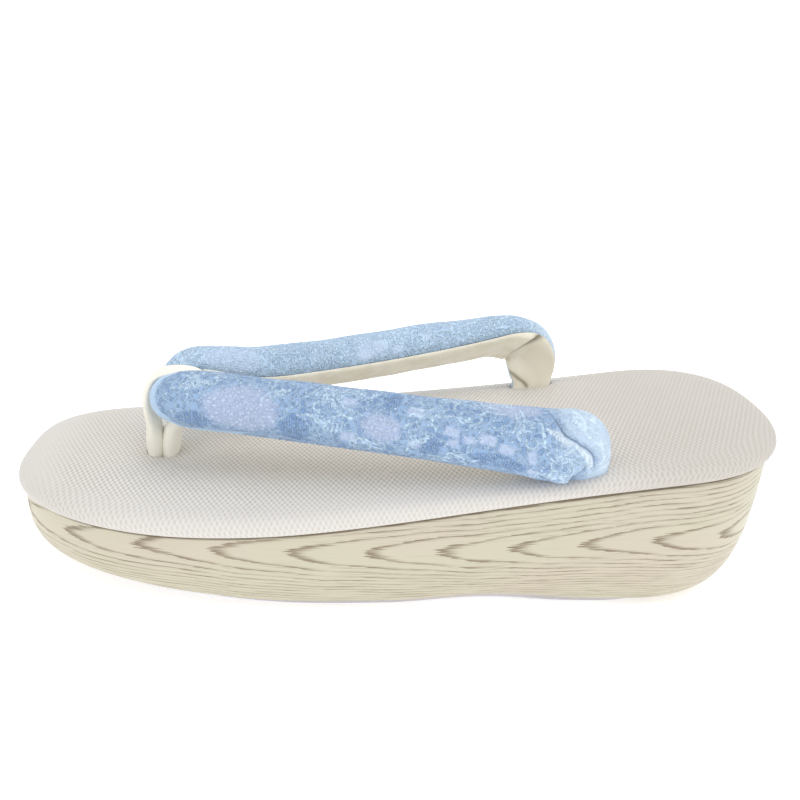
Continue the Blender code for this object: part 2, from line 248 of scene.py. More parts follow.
# Toe loop: one row for each section of its band, from the front leg over the neck to the rear leg
LOOP_COLUMNS = ("x", "up", "width", "thick")
LOOP_ROWS = (
    (0.0796, -0.0112, 0.0092, 0.0044),
    (0.0796, -0.0012, 0.0102, 0.0054),
    (0.0798, 0.0040, 0.0107, 0.0062),
    (0.0804, 0.0092, 0.0102, 0.0044),
    (0.0817, 0.0150, 0.0092, 0.0030),
    (0.0814, 0.0210, 0.0086, 0.0027),
    (0.0784, 0.0261, 0.0079, 0.0025),
    (0.0714, 0.0277, 0.0071, 0.0025),
    (0.0650, 0.0259, 0.0057, 0.0025),
    (0.0632, 0.0204, 0.0050, 0.0025),
    (0.0672, 0.0140, 0.0064, 0.0032),
    (0.0730, 0.0100, 0.0092, 0.0048),
    (0.0746, 0.0045, 0.0107, 0.0058),
    (0.0751, -0.0012, 0.0102, 0.0051),
    (0.0753, -0.0112, 0.0092, 0.0035),
)
LOOP_POINTS = 6
LOOP_SIDES = 72
LOOP_SQUARENESS = 0.8
LOOP_RIPPLE = 0.03
LOOP_RIPPLE_LENGTH = 4.0

# Where the strap's ends and the toe loop go into the insole: centre, half sizes
ENTRIES = (
    # x, y, half_x, half_y
    (-0.0512, 0.0362, 0.0063, 0.0021),
    (-0.0512, -0.0362, 0.0063, 0.0021),
    (0.0777, 0.0000, 0.0043, 0.0045),
)
ENTRY_POWER = 2.8
ENTRY_DEPTH = 0.0045
ENTRY_RIM = 0.0004
ENTRY_RIM_FADE = 0.0011
ENTRY_DIP = 0.0006
ENTRY_DIP_REACH = 0.0035

# Lace layout on the strap, in millimetres: distance back from the neck (minus on the right arm) and
# distance up from the crown of the strap's face
NET_OVALS = (
    # along, up, half_length, half_height, turn
    (34.2, -5.0, 12.2, 7.4, -5.0),
    (113.0, 8.6, 8.0, 3.4, 4.0),
    (77.0, -5.4, 6.0, 4.2, -8.0),
    (-25.0, 14.0, 9.5, 5.2, 6.0),
    (-73.0, 13.5, 5.4, 3.8, -10.0),
    (-60.0, -2.0, 9.0, 5.6, 10.0),
    (-108.0, 2.0, 10.0, 5.6, -8.0),
)
RIB_OVALS = (
    # along, up, half_length, half_height, turn
    (51.6, -9.8, 4.4, 4.8, 0.0),
    (19.5, -9.4, 4.6, 3.4, -24.0),
    (91.0, -8.6, 3.4, 3.6, 0.0),
    (110.2, -9.6, 7.8, 2.8, -4.0),
    (79.0, 4.0, 3.0, 3.0, 0.0),
    (-44.0, 11.0, 9.0, 5.0, 0.0),
    (-57.0, 14.0, 4.4, 4.0, 20.0),
    (-118.0, 12.0, 5.6, 4.4, 0.0),
    (-129.0, 11.0, 3.8, 4.6, 0.0),
)
PATCHES = (
    # along, up, half_length, half_height
    (67.4, -9.8, 2.2, 1.6),
    (86.2, 1.0, 2.0, 1.5),
    (86.8, -8.6, 1.8, 1.0),
    (97.0, -3.0, 1.9, 1.4),
    (97.6, -6.0, 1.6, 1.1),
    (102.0, -4.6, 1.8, 1.1),
    (106.8, -3.2, 2.2, 1.5),
    (112.2, -4.8, 2.0, 1.2),
    (119.4, -5.6, 1.2, 1.7),
    (120.4, -10.4, 1.4, 1.0),
    (66.6, 1.2, 1.9, 1.3),
    (-70.0, 16.0, 2.4, 1.5),
    (-77.0, 13.2, 2.6, 1.7),
    (-82.2, 15.4, 1.9, 1.3),
    (-93.4, 13.0, 1.8, 1.2),
)
# Leaf shapes of painted highlight on the padding's bulge beside the fold at the strap's end
LEAF_HIGHLIGHTS = (
    # along, up, length, width, turn
    (121.6, 4.2, 12.0, 2.4, -24.0),
    (129.6, 0.2, 7.0, 2.6, -16.0),
)
LEAF_POWER = 0.85
LEAST_SLOPE = 1e-6
LACE_KINDS = ("net", "rib", "small", "leaf", "cord", "fold")
FAR_OFF = 20.0

# A sprig of cords round its heart, in shares of the sprig's size: arcs by centre, radius and angles
SPRIG_ARCS = (
    # along, up, radius, start, sweep
    (0.52, 0.02, 0.33, -125.0, 250.0),
    (0.15, 0.50, 0.31, -50.0, 235.0),
    (-0.42, 0.30, 0.32, 25.0, 240.0),
    (-0.40, -0.34, 0.30, 105.0, 225.0),
    (0.18, -0.48, 0.32, 175.0, 235.0),
    (1.90, 1.30, 1.75, 205.0, 62.0),
    (1.96, 1.42, 1.48, 200.0, 50.0),
    (-1.30, -1.60, 1.45, 40.0, 66.0),
)
SPRIGS = (
    # along, up, size, turn
    (60.5, -3.0, 5.0, 8.0),
    (88.0, -3.4, 5.4, 60.0),
    (22.0, 5.4, 4.4, 170.0),
    (71.5, 7.2, 4.6, 200.0),
    (101.0, 4.4, 5.4, 20.0),
    (118.5, 1.0, 5.0, 130.0),
    (128.0, -7.6, 4.6, 75.0),
    (45.0, 4.6, 4.6, 250.0),
    (71.0, -12.8, 4.0, 20.0),
    (98.5, -12.4, 4.2, 190.0),
    (134.0, 7.6, 5.2, 310.0),
    (-14.0, 9.0, 4.6, 30.0),
    (-38.0, 6.0, 5.0, 80.0),
    (-66.0, 10.4, 5.2, 10.0),
    (-88.0, 14.8, 5.2, 140.0),
    (-99.0, 11.6, 5.6, 200.0),
    (-113.0, 13.4, 5.8, 20.0),
    (-126.0, 13.0, 5.4, 100.0),
    (-138.0, 10.0, 5.0, 30.0),
)

# Feathers of short parallel cords: first cord, how many, the step between them, and their slant
FEATHERS = (
    # along, up, cords, step, length, slant
    (55.0, 1.6, 8, 1.25, 5.4, 62.0),
    (60.0, -8.6, 5, 1.30, 3.6, 80.0),
    (92.0, 7.0, 6, 1.30, 4.0, 58.0),
    (14.6, 1.0, 5, 1.30, 4.2, 40.0),
    (104.0, 9.0, 8, 1.20, 3.2, 88.0),
    (121.0, -12.4, 6, 1.30, 4.2, 70.0),
    (-60.0, 11.0, 7, 1.30, 5.0, 70.0),
    (-84.0, 9.4, 7, 1.20, 5.2, 95.0),
    (-124.0, 8.6, 5, 1.30, 6.0, 80.0),
)

# Folds of the padded strap, as soft troughs, or ridges below zero: both ends, half width and depth,
# in millimetres
CREASES = (
    # along_a, up_a, along_b, up_b, half_width, depth
    (124.6, 8.4, 128.0, 3.0, 0.75, 0.90),
    (128.0, 3.0, 131.2, 0.9, 0.75, 1.10),
    (131.2, 0.9, 138.0, 0.8, 0.75, 1.10),
    (128.4, 8.2, 131.0, 5.2, 0.80, 0.40),
    (129.6, 4.6, 133.6, 3.0, 0.80, -0.35),
    (116.8, -7.6, 121.0, -10.4, 0.80, 0.30),
    (121.0, -10.4, 125.4, -13.8, 0.90, 0.50),
    (134.4, -2.6, 139.0, -4.4, 0.80, 0.55),
    (123.0, -5.4, 130.6, -4.2, 1.20, 0.25),
    (12.4, -9.0, 17.0, -3.0, 1.20, 0.30),
    (12.0, 8.5, 16.0, 3.0, 1.20, 0.30),
    (-131.0, 6.0, -141.0, 7.0, 1.20, 0.45),
    (-133.0, -4.0, -144.0, 0.5, 1.20, 0.50),
    (-12.0, -9.0, -17.0, -3.0, 1.20, 0.30),
)
CREASE_FADE = 1.5
CREASE_LIP = 0.45
CREASE_LIP_PLACE = 2.1
CREASE_LIP_WIDTH = 1.1
# Lines of painted shade along the strap's sharp folds, in millimetres
SHARP_FOLDS = (
    # along, up, length, turn
    (125.0, 7.6, 5.6, -57.0),
    (128.0, 3.0, 3.8, -33.0),
    (131.2, 0.9, 6.4, -1.0),
    (122.4, -11.6, 3.4, -36.0),
    (135.2, -2.8, 3.4, -20.0),
)

# Where the padding swells beyond the strap's section: middle, half sizes and height, in millimetres
SWELLS = (
    # along, up, half_length, half_height, height
    (133.4, 14.0, 4.2, 5.4, 1.60),
    (130.6, -12.0, 5.6, 4.6, 1.30),
    (119.5, -12.0, 3.4, 3.0, 0.35),
    (133.5, -3.6, 3.0, 2.6, 0.45),
    (-20.0, 4.0, 7.0, 9.0, -1.10),
)

# Noises of the finishes, by name: a row stretches the place, in millimetres, along three axes, then
# shifts it along the third, and sets the noise's detail and roughness
WOOD_NOISES = {
    # name: x, y, z, shift, detail, roughness
    "sway": (0.030, 0.018, 1.0, 0.0, 1.0, 0.50),
    "fibre": (0.060, 2.10, 1.0, 0.0, 2.0, 0.70),
    "coarse": (0.050, 1.20, 1.0, 7.0, 1.0, 0.50),
    "lull": (0.045, 0.90, 1.0, 21.0, 1.0, 0.50),
    "hair": (0.050, 2.40, 1.0, 3.0, 2.0, 0.50),
    "warm": (0.020, 0.05, 1.0, 12.0, 1.0, 0.50),
}
WEAVE_NOISES = {
    # name: x, y, z, shift, detail, roughness
    "wander": (0.050, 0.050, 1.0, 0.0, 1.0, 0.50),
    "yarn": (0.90, 2.60, 1.0, 4.0, 2.0, 0.50),
    "cloud": (0.035, 0.035, 1.0, 0.315, 2.0, 0.50),
}
LACE_NOISES = {
    # name: x, y, z, shift, detail, roughness
    "crinkle": (0.74, 0.74, 0.74, 0.0, 1.5, 0.55),
    "drift": (0.35, 0.35, 0.35, 14.0, 2.0, 0.50),
    "cloud": (0.16, 0.16, 0.16, 12.8, 2.0, 0.50),
    "broken": (0.55, 0.55, 0.55, 11.0, 2.0, 0.50),
    "wander": (0.60, 0.60, 0.60, 36.0, 2.0, 0.50),
}
SUEDE_NOISES = {
    # name: x, y, z, shift, detail, roughness
    "nap": (0.16, 0.16, 0.16, 0.0, 3.0, 0.50),
    "fuzz": (2.60, 2.60, 2.60, 0.0, 2.0, 0.50),
}
RUBBER_NOISES = {
    # name: x, y, z, shift, detail, roughness
    "pores": (3.20, 3.20, 3.20, 0.0, 2.0, 0.50),
    "wear": (0.05, 0.05, 0.05, 0.0, 3.0, 0.50),
}
PAPER_NOISES = {
    # name: x, y, z, shift, detail, roughness
    "grain": (0.02, 0.02, 0.02, 0.0, 2.0, 0.50),
}

# Numbers of the finishes, whose lengths are in millimetres. A name that ends in _step is a smooth step
# from 0 at its first value to 1 at its second. A name that ends in _share is a weight, or two weights
# that a signal goes between
WOOD = SimpleNamespace(
    sway=2.6,
    above_step=(-1.0, 1.0),
    softening=2.4,
    bend=1.08,
    fibre_share=0.50,
    coarse_share=0.14,
    line_step=(0.0, 0.04),
    line_end_step=(0.33, 0.08),
    far_step=(2.0, 6.0),
    lull_step=(0.28, 0.62),
    line_share=(0.62, 0.96),
    far_line_share=(0.28, 0.90),
    hair_step=(0.56, 0.68),
    hair_share=(0.10, 0.32),
    second_shift=0.45,
    second_step=(0.0, 0.08),
    second_end_step=(0.26, 0.10),
    second_share=0.30,
    # The seam under the insole's lip, darkened with painted shade, weaker towards the toe
    lip_shade_step=(0.45, 0.12),
    lip_shade_share=(0.15, 0.90),
    lip_shade_ends_step=(60.0, 120.0),
    lip_shade_ends_share=(0.2, 1.0),
    warm_step=(0.38, 0.66),
    roughness=(0.40, 0.56),
    dark_relief=-0.030,
    hair_relief=0.006,
)
WEAVE = SimpleNamespace(
    skew=0.009,
    length_wander=0.5,
    width_wander=0.7,
    thread_step=(-0.70, 0.40),
    cloud_step=(0.30, 0.70),
    heel_step=(-35.0, -85.0),
    toe_step=(119.0, 96.0),
    edge_step=(1.0, 16.0),
    edge_share=(0.45, 1.0),
    far_side_step=(12.0, -16.0),
    heel_share=(1.0, 0.65),
    even_tint=0.80,
    yarn_share=(0.86, 1.0),
    cloud_share=0.04,
    # Painted shade towards the heel and the toe, where the light falls off
    heel_shade=0.54,
    front_step=(74.0, 104.0),
    front_shade=0.22,
    relief_share=(0.25, 1.0),
    yarn_relief=0.02,
)
LACE = SimpleNamespace(
    near_step=(-6.0, 6.0),
    crepe_step=(0.060, 0.012),
    hollow_step=(0.45, 0.32),
    cloud_step=(0.34, 0.68),
    broken_step=(0.38, 0.54),
    cord_wander=0.7,
    cord_step=(2.2, 0.7),
    cord_share=(0.25, 1.0),
    net_drift=3.2,
    net_step=(1.3, -1.7),
    rib_drift=1.6,
    rib_step=(0.3, -0.5),
    fine_drift=1.8,
    small_step=(0.60, -0.60),
    leaf_highlight_step=(0.30, -0.40),
    rib_sway=1.2,
    cell_scale=0.78,
    cell_step=(0.03, 0.30),
    # The strap's paler ends: partly paler lace, partly painted light on the top of the end's bulge and on
    # the far arm's shaded end
    tail_step=(121.0, 132.0),
    tail_up_step=(-6.0, 4.0),
    tail_share=(0.25, 1.0),
    far_tail_step=(-127.0, -136.0),
    rim_bend=0.016,
    rim_step=(12.3, 11.7),
    # Painted shade along the sharp folds
    fold_painted_shade_step=(0.42, 0.12),
    ground=0.62,
    crepe_light=0.54,
    hollow_dark=0.32,
    cloud_light=0.14,
    # Painted shade on the near arm's ground
    near_arm_painted_shade=0.30,
    rib_light=(-0.14, 0.20),
    rib_crepe_dark=0.20,
    netting_share=0.80,
    small_share=0.55,
    leaf_highlight_share=0.66,
    # Painted light that mixes the far arm toward the cord colour
    far_arm_painted_light=0.42,
    cords_share=0.80,
    pale_share=0.50,
    rim_share=0.70,
    fold_painted_shade_share=0.55,
    tail_flat=0.6,
    hollow_relief=0.8,
    net_flat=0.6,
    small_flat=0.7,
    filling_relief=0.14,
)
SUEDE = SimpleNamespace(
    deep=(0.86, 0.84, 0.78),
    nap_step=(0.3, 0.7),
    nap_share=0.7,
    fuzz_share=0.3,
    # Painted shade down the linings' legs, and painted light that keeps the toe loop even and light
    leg_shade_step=(-43.0, -50.0),
    leg_shade_share=(1.0, 0.2),
    loop_light_step=(52.0, 62.0),
    fold_shade=2.4,
    fuzz_relief=0.07,
    nap_relief=0.10,
)
RUBBER = SimpleNamespace(
    wear_step=(0.42, 0.72),
    worn=0.86,
    wear_share=0.6,
    roughness=(0.66, 0.74),
    relief=0.05,
)
PAPER_SHADE = 0.985

# Sockets of a Mix node that mixes colours
MIX_SHARE = 0
MIX_FIRST = 6
MIX_SECOND = 7
MIX_RESULT = 2

# Camera
CAMERA_PLACE = (0.025846, 0.250251, 0.154070)
CAMERA_AZIMUTH = 5.67
CAMERA_ELEVATION = 22.14
CAMERA_ROLL = 4.41
CAMERA_LENS = 37.25
SENSOR_WIDTH = 36.0
CLIP_START = 0.01
CLIP_END = 50.0

# Stage: a floor that sweeps up behind the sandal, and the lights
FLOOR_HALF_WIDTH = 3.0
FLOOR_FRONT = 1.6
FLOOR_BACK = -1.6
FLOOR_ROWS = 12
SWEEP_RADIUS = 0.8
SWEEP_ROWS = 24
SWEEP_TOP = 2.4
FLOOR_GLOW = 0.42
WORLD_STRENGTH = 0.75
WHITE = (1.0, 1.0, 1.0, 1.0)
LIGHTS = (
    # name, x, y, z, width, height, watts
    ("key_softbox", 0.50, 0.35, 0.60, 0.6, 0.6, 0.9),
    ("fill_softbox", -0.90, 0.80, 0.60, 1.0, 1.0, 1.9),
    ("top_softbox", -0.25, 0.15, 1.00, 0.8, 0.8, 3.2),
)
LIGHT_TARGET = (0.0, 0.0, 0.03)


def srgb(red, green, blue):
    """A colour from 0-255 display values, as 0-1 values for a colour property."""
    return red / 255.0, green / 255.0, blue / 255.0


def shade(name, description, value):
    """A colour property with display values."""
    return FloatVectorProperty(
        name=name, description=description, subtype="COLOR_GAMMA", default=value, min=0.0, max=1.0
    )


def size(name, description, value):
    """A length property in metres."""
    return FloatProperty(name=name, description=description, default=value, unit="LENGTH", precision=4)


class SoleSizes(bpy.types.PropertyGroup):
    """Sizes of the platform, insole and outsole."""

    length: size("Length", "Length of the insole", 0.240)
    ball_width: size("Ball width", "Width of the insole at the ball", 0.094)
    heel_width: size("Heel width", "Width of the insole at the heel", 0.085)
    front_height: size("Front height", "Height of the insole's top before the toe lift", 0.0295)
    heel_height: size("Heel height", "Height of the insole's top at the heel", 0.0575)
    insole_thickness: size("Insole thickness", "Thickness of the cushioned insole", 0.0064)
    stations: IntProperty(name="Stations", description="Points along each side", default=440, min=60)
    across: IntProperty(name="Across", description="Points across the insole's top", default=150, min=20)


class ClothSizes(bpy.types.PropertyGroup):
    """Scale and relief of the woven, printed and lace surfaces."""

    weave_length: size("Weave length", "Repeat of the insole's weave along the foot", 0.00158)
    weave_width: size("Weave width", "Repeat of the insole's weave across the foot", 0.00290)
    weave_relief: size("Weave relief", "Height of the insole's threads", 0.00013)
    cord_width: size("Cord width", "Width of the lace's cords", 0.00048)
    cord_relief: size("Cord relief", "Height of the lace's cords", 0.00022)
    crepe_relief: size("Crepe relief", "Height of the lace's crinkled ground", 0.00034)
    rib_pitch: size("Rib pitch", "Distance between the lace's fine ribs", 0.00074)
    puff: size("Puff", "Unevenness of the strap's padding", 0.00026)
    spacing: size("Spacing", "Distance between the strap's sections", 0.00044)
    sides: IntProperty(name="Sides", description="Points round the strap", default=124, min=40)


class Colours(bpy.types.PropertyGroup):
    """Colours of the finishes."""

    wood: shade("Wood", "Light ground of the printed wood", srgb(199, 194, 173))
    wood_warm: shade("Warm wood", "Warmer patches of the printed wood", srgb(201, 192, 174))
    # grain also colours the painted shade at the seam under the insole's lip
    grain: shade("Grain", "Dark lines of the printed wood", srgb(134, 120, 98))
    thread: shade("Thread", "Raised threads of the insole", srgb(225, 222, 218))
    thread_gap: shade("Thread gap", "Gaps between the insole's threads", srgb(193, 187, 179))
    lace: shade("Lace", "Ground of the blue lace", srgb(184, 210, 236))
    # lace_deep is also where the near arm's painted shade takes its ground
    lace_deep: shade("Deep lace", "Ribbed parts and hollows of the lace", srgb(122, 154, 198))
    # lace_shade is painted shade along the lace's sharp folds
    lace_shade: shade("Lace shade", "Sharp folds of the lace", srgb(92, 110, 140))
    lilac: shade("Lilac", "Net ovals and small patches of the lace", srgb(198, 208, 232))
    lilac_deep: shade("Deep lilac", "Gaps of the net", srgb(172, 186, 216))
    # cord also colours the painted light on the far arm
    cord: shade("Cord", "Cords of the lace", srgb(206, 232, 254))
    # pale_and_highlight: the strap's ends are partly paler lace and partly painted light, and the leaf
    # shapes are painted highlight
    pale_and_highlight: shade("Pale lace", "White leaves and the paler end of the strap", srgb(224, 239, 250))
    lining: shade("Lining", "Cream lining and toe loop", srgb(248, 244, 231))
    # lining_shade is painted shade along the lining's folds
    lining_shade: shade("Lining shade", "Sharp folds of the lining", srgb(120, 112, 92))
    rubber: shade("Rubber", "Pale outsole", srgb(206, 203, 206))
    floor: shade("Floor", "Plain studio floor", srgb(250, 250, 250))


def linear(colour):
    """Display values from 0 to 1 as the linear colour of a shader, with alpha 1."""
    values = np.array(colour[:3])
    low = values / DISPLAY_SLOPE
    high = ((values + DISPLAY_OFFSET) / (1.0 + DISPLAY_OFFSET)) ** DISPLAY_POWER
    return (*np.where(values <= DISPLAY_KNEE, low, high), 1.0)


def darker(colour, shares):
    """A display colour as a linear one, times a share for each of red, green and blue, with alpha 1."""
    return (*(np.array(linear(colour)[:3]) * shares), 1.0)


def ease(share):
    """A smooth step: three squares less two cubes of the share, held between 0 and 1."""
    share = np.clip(share, 0.0, 1.0)
    return share * share * (3.0 - 2.0 * share)


def unit(vectors):
    """Vectors scaled to length 1."""
    return vectors / np.maximum(np.linalg.norm(vectors, axis=-1, keepdims=True), TINY)


def run_along(points):
    """Distance along a row of points, from 0 at the first."""
    steps = np.linalg.norm(np.diff(points, axis=0), axis=1)
    return np.concatenate(([0.0], np.cumsum(steps)))


def smooth_rows(rows, steps):
    """The rows of a table with steps - 1 more between each two, on a Catmull-Rom spline through them."""
    rows = np.array(rows, float)
    ends = np.vstack((2 * rows[0] - rows[1], rows, 2 * rows[-1] - rows[-2]))
    before, here, after, beyond = ends[:-3], ends[1:-2], ends[2:-1], ends[3:]
    share = (np.arange(steps) / steps)[None, :, None]
    before, here, after, beyond = (part[:, None, :] for part in (before, here, after, beyond))
    made = 0.5 * (
        2 * here
        + (after - before) * share
        + (2 * before - 5 * here + 4 * after - beyond) * share**2
        + (3 * here - before - 3 * after + beyond) * share**3
    )
    return np.vstack((made.reshape(-1, rows.shape[1]), rows[-1]))


def half_width(sole, x, front, back, narrower):
    """Half the plan width at x: a width that eases from heel to ball, times a superellipse at each end."""
    wider = (sole.ball_width - sole.heel_width) / 2
    straight = sole.heel_width / 2 + wider * ease((x - WAIST_X) / (BALL_X - WAIST_X))
    toe = np.clip((x - front + TOE_ROUND_LENGTH) / TOE_ROUND_LENGTH, 0.0, 1.0)
    heel = np.clip((back + HEEL_ROUND_LENGTH - x) / HEEL_ROUND_LENGTH, 0.0, 1.0)
    toe_end = (1.0 - toe**TOE_ROUND_POWER) ** (1.0 / TOE_ROUND_POWER)
    heel_end = (1.0 - heel**HEEL_ROUND_POWER) ** (1.0 / HEEL_ROUND_POWER)
    return (straight - narrower) * toe_end * heel_end


def outline(sole, toe_inset, heel_inset, side_inset):
    """The plan outline drawn in from the insole's: heel tip, right side, toe tip, left side.

    The stations of a side are at equal steps along its length.
    """
    front, back = sole.length / 2 - toe_inset, -sole.length / 2 + heel_inset
    fine = front - (front - back) * (1.0 - np.cos(np.linspace(0.0, np.pi, FINE_STEPS))) / 2.0
    side = half_width(sole, fine, front, back, side_inset)
    run = run_along(np.column_stack((fine, side)))
    even = np.linspace(0.0, run[-1], sole.stations + 1)
    left = np.column_stack((np.interp(even, run, fine), np.interp(even, run, side)))
    right = left * (1.0, -1.0)
    return np.vstack((right[::-1], left[1:-1]))


def lip_height(sole, x):
    """Height of the line where the insole's lip meets the wall: a softly bent ramp plus a toe lift."""
    front_lip = sole.front_height - sole.insole_thickness
    heel_lip = sole.heel_height - sole.insole_thickness
    slope = (heel_lip - front_lip) / (RAMP_X + sole.length / 2)
    ramp = slope * RAMP_BLEND * np.log1p(np.exp((RAMP_X - x) / RAMP_BLEND))
    toe = np.maximum(0.0, x - TOE_LIFT_X) / (sole.length / 2 - TOE_LIFT_X)
    return front_lip + ramp + TOE_LIFT * toe**2


def top_height(sole, x):
    """Height of the insole's top along its middle."""
    return lip_height(sole, x) + sole.insole_thickness + INSOLE_CROWN


def foot_height(sole, x):
    """Height of the outsole's underside: flat at heel and ball, a cosine arch and a squared toe spring."""
    toe = np.maximum(0.0, x - TOE_SPRING_X) / (sole.length / 2 - TOE_SPRING_X)
    across = np.clip((x - ARCH_X) / ARCH_HALF_LENGTH, -1.0, 1.0)
    return TOE_SPRING * toe**2 + ARCH_RISE * (0.5 + 0.5 * np.cos(np.pi * across))


def raised(plan, height):
    """Plan points lifted to a height that is a number or a row of numbers."""
    return np.column_stack((plan, np.broadcast_to(height, len(plan))))


def closed(table):
    """A table of rows with its first column repeated after the last."""
    return np.concatenate((table, table[:, :1]), axis=1)


def patch(ids, uv):
    """Quads between neighbours of a grid of vertex numbers, with the UV of each corner."""
    corners = (
        (slice(None, -1), slice(None, -1)),
        (slice(None, -1), slice(1, None)),
        (slice(1, None), slice(1, None)),
        (slice(1, None), slice(None, -1)),
    )
    faces = np.stack([ids[corner] for corner in corners], axis=-1).reshape(-1, 4)
    face_uv = np.stack([uv[corner] for corner in corners], axis=-2).reshape(-1, 4, 2)
    return faces, face_uv


def add_piece(name, points, patches, uv_name, material, node, attributes=()):
    """A smooth closed mesh from patches of quads, which stands for a CAD node.

    A quad that has a corner twice becomes a triangle. The faces are turned round together if the
    volume that they enclose, the sum of each face's triple products, is below zero.
    """
    faces = np.vstack([part[0] for part in patches])
    uv = np.vstack([part[1] for part in patches])
    a, b, c, d = (points[faces[:, k]] for k in range(4))
    volume = np.sum(a * (np.cross(b, c) + np.cross(c, d)))
    if volume < 0:
        faces, uv = faces[:, ::-1], uv[:, ::-1]
    keep = faces != np.roll(faces, 1, axis=1)
    whole = keep.sum(axis=1) > 2
    faces, uv, keep = faces[whole], uv[whole], keep[whole]
    sides = keep.sum(axis=1)
    loops = faces[keep]
    mesh = bpy.data.meshes.new(name)
    mesh.vertices.add(len(points))
    mesh.vertices.foreach_set("co", points.astype(np.float32).ravel())
    mesh.loops.add(len(loops))
    mesh.polygons.add(len(faces))
    mesh.polygons.foreach_set("loop_start", (np.cumsum(sides) - sides).astype(np.int32))
    mesh.polygons.foreach_set("vertices", loops.astype(np.int32))
    layer = mesh.uv_layers.new(name=uv_name)
    layer.uv.foreach_set("vector", uv[keep].astype(np.float32).ravel())
    for title, values in attributes:
        channel = mesh.attributes.new(title, "FLOAT", "POINT")
        channel.data.foreach_set("value", values.astype(np.float32).ravel())
    mesh.update(calc_edges=True)
    mesh.validate()
    mesh.shade_smooth()
    mesh.materials.append(material)
    piece = bpy.data.objects.new(name, mesh)
    bpy.context.scene.collection.objects.link(piece)
    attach(piece, "root")
    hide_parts(node)
    return piece


def zip_ids(ring, stations, inner=None):
    """Vertex numbers in rows from toe to heel, each from the left rim across to the right rim.

    The ring starts at the heel tip and runs up the right side. A row at a tip is one vertex.
    """
    right = ring[: stations + 1][::-1]
    left = np.concatenate((ring[stations:], ring[:1]))
    if inner is None:
        return np.column_stack((left, right))
    middle = np.vstack((np.full(inner.shape[1], left[0]), inner, np.full(inner.shape[1], left[-1])))
    return np.column_stack((left, middle, right))


def grid_across(ring, stations, count):
    """Points in rows from toe to heel, each in even steps straight from the left rim to the right."""
    right = ring[: stations + 1][::-1]
    left = np.vstack((ring[stations:], ring[:1]))
    share = np.linspace(0.0, 1.0, count + 1)
    return left[:, None, :] + (right - left)[:, None, :] * share[None, :, None]


def numbered(grid):
    """Vertex numbers for a grid of points."""
    return np.arange(grid.shape[0] * grid.shape[1]).reshape(grid.shape[:2])


def inside_ids(ids, ring, grid):
    """The points of a grid that lie inside a ring, and the numbers of all its points, rims included.

    The inner points are counted on from the ones that ids holds.
    """
    middle = grid[1:-1, 1:-1]
    return middle.reshape(-1, 3), zip_ids(ring, len(grid) - 1, ids.size + numbered(middle))


def turned_over(part):
    """A patch with its faces turned round."""
    faces, uv = part
    return faces[:, ::-1], uv[:, ::-1]


class Signal:
    """A number that a material works out at each point, written as ordinary arithmetic."""

    def __init__(self, finish, socket):
        self.finish = finish
        self.socket = socket

    def math(self, operation, *others, clamp=False):
        """The output of a Math node with this number first."""
        return self.finish.math(operation, self, *others, clamp=clamp)

    def __add__(self, other):
        return self.math("ADD", other)

    def __sub__(self, other):
        return self.math("SUBTRACT", other)

    def __rsub__(self, other):
        return self.finish.math("SUBTRACT", other, self)

    def __mul__(self, other):
        return self.math("MULTIPLY", other)

    def __truediv__(self, other):
        return self.math("DIVIDE", other)

    def __abs__(self):
        return self.math("ABSOLUTE")

    __radd__ = __add__
    __rmul__ = __mul__

    def fract(self):
        """What is left after the whole part."""
        return self.math("FRACT")

    def wave(self, pitch):
        """A cosine that repeats at a pitch."""
        return (self * (2 * np.pi / pitch)).math("COSINE")

    def between(self, low, high):
        """What goes from low to high as this number goes from 0 to 1."""
        return self * (high - low) + low

    def step(self, low, high):
        """A smooth step from 0 at low to 1 at high; low may be above high."""
        node = self.finish.node("ShaderNodeMapRange", interpolation_type="SMOOTHSTEP")
        flipped = low > high
        self.finish.join(self, node.inputs["Value"])
        node.inputs["From Min"].default_value = min(low, high)
        node.inputs["From Max"].default_value = max(low, high)
        node.inputs["To Min"].default_value = 1.0 if flipped else 0.0
        node.inputs["To Max"].default_value = 0.0 if flipped else 1.0
        return Signal(self.finish, node.outputs["Result"])


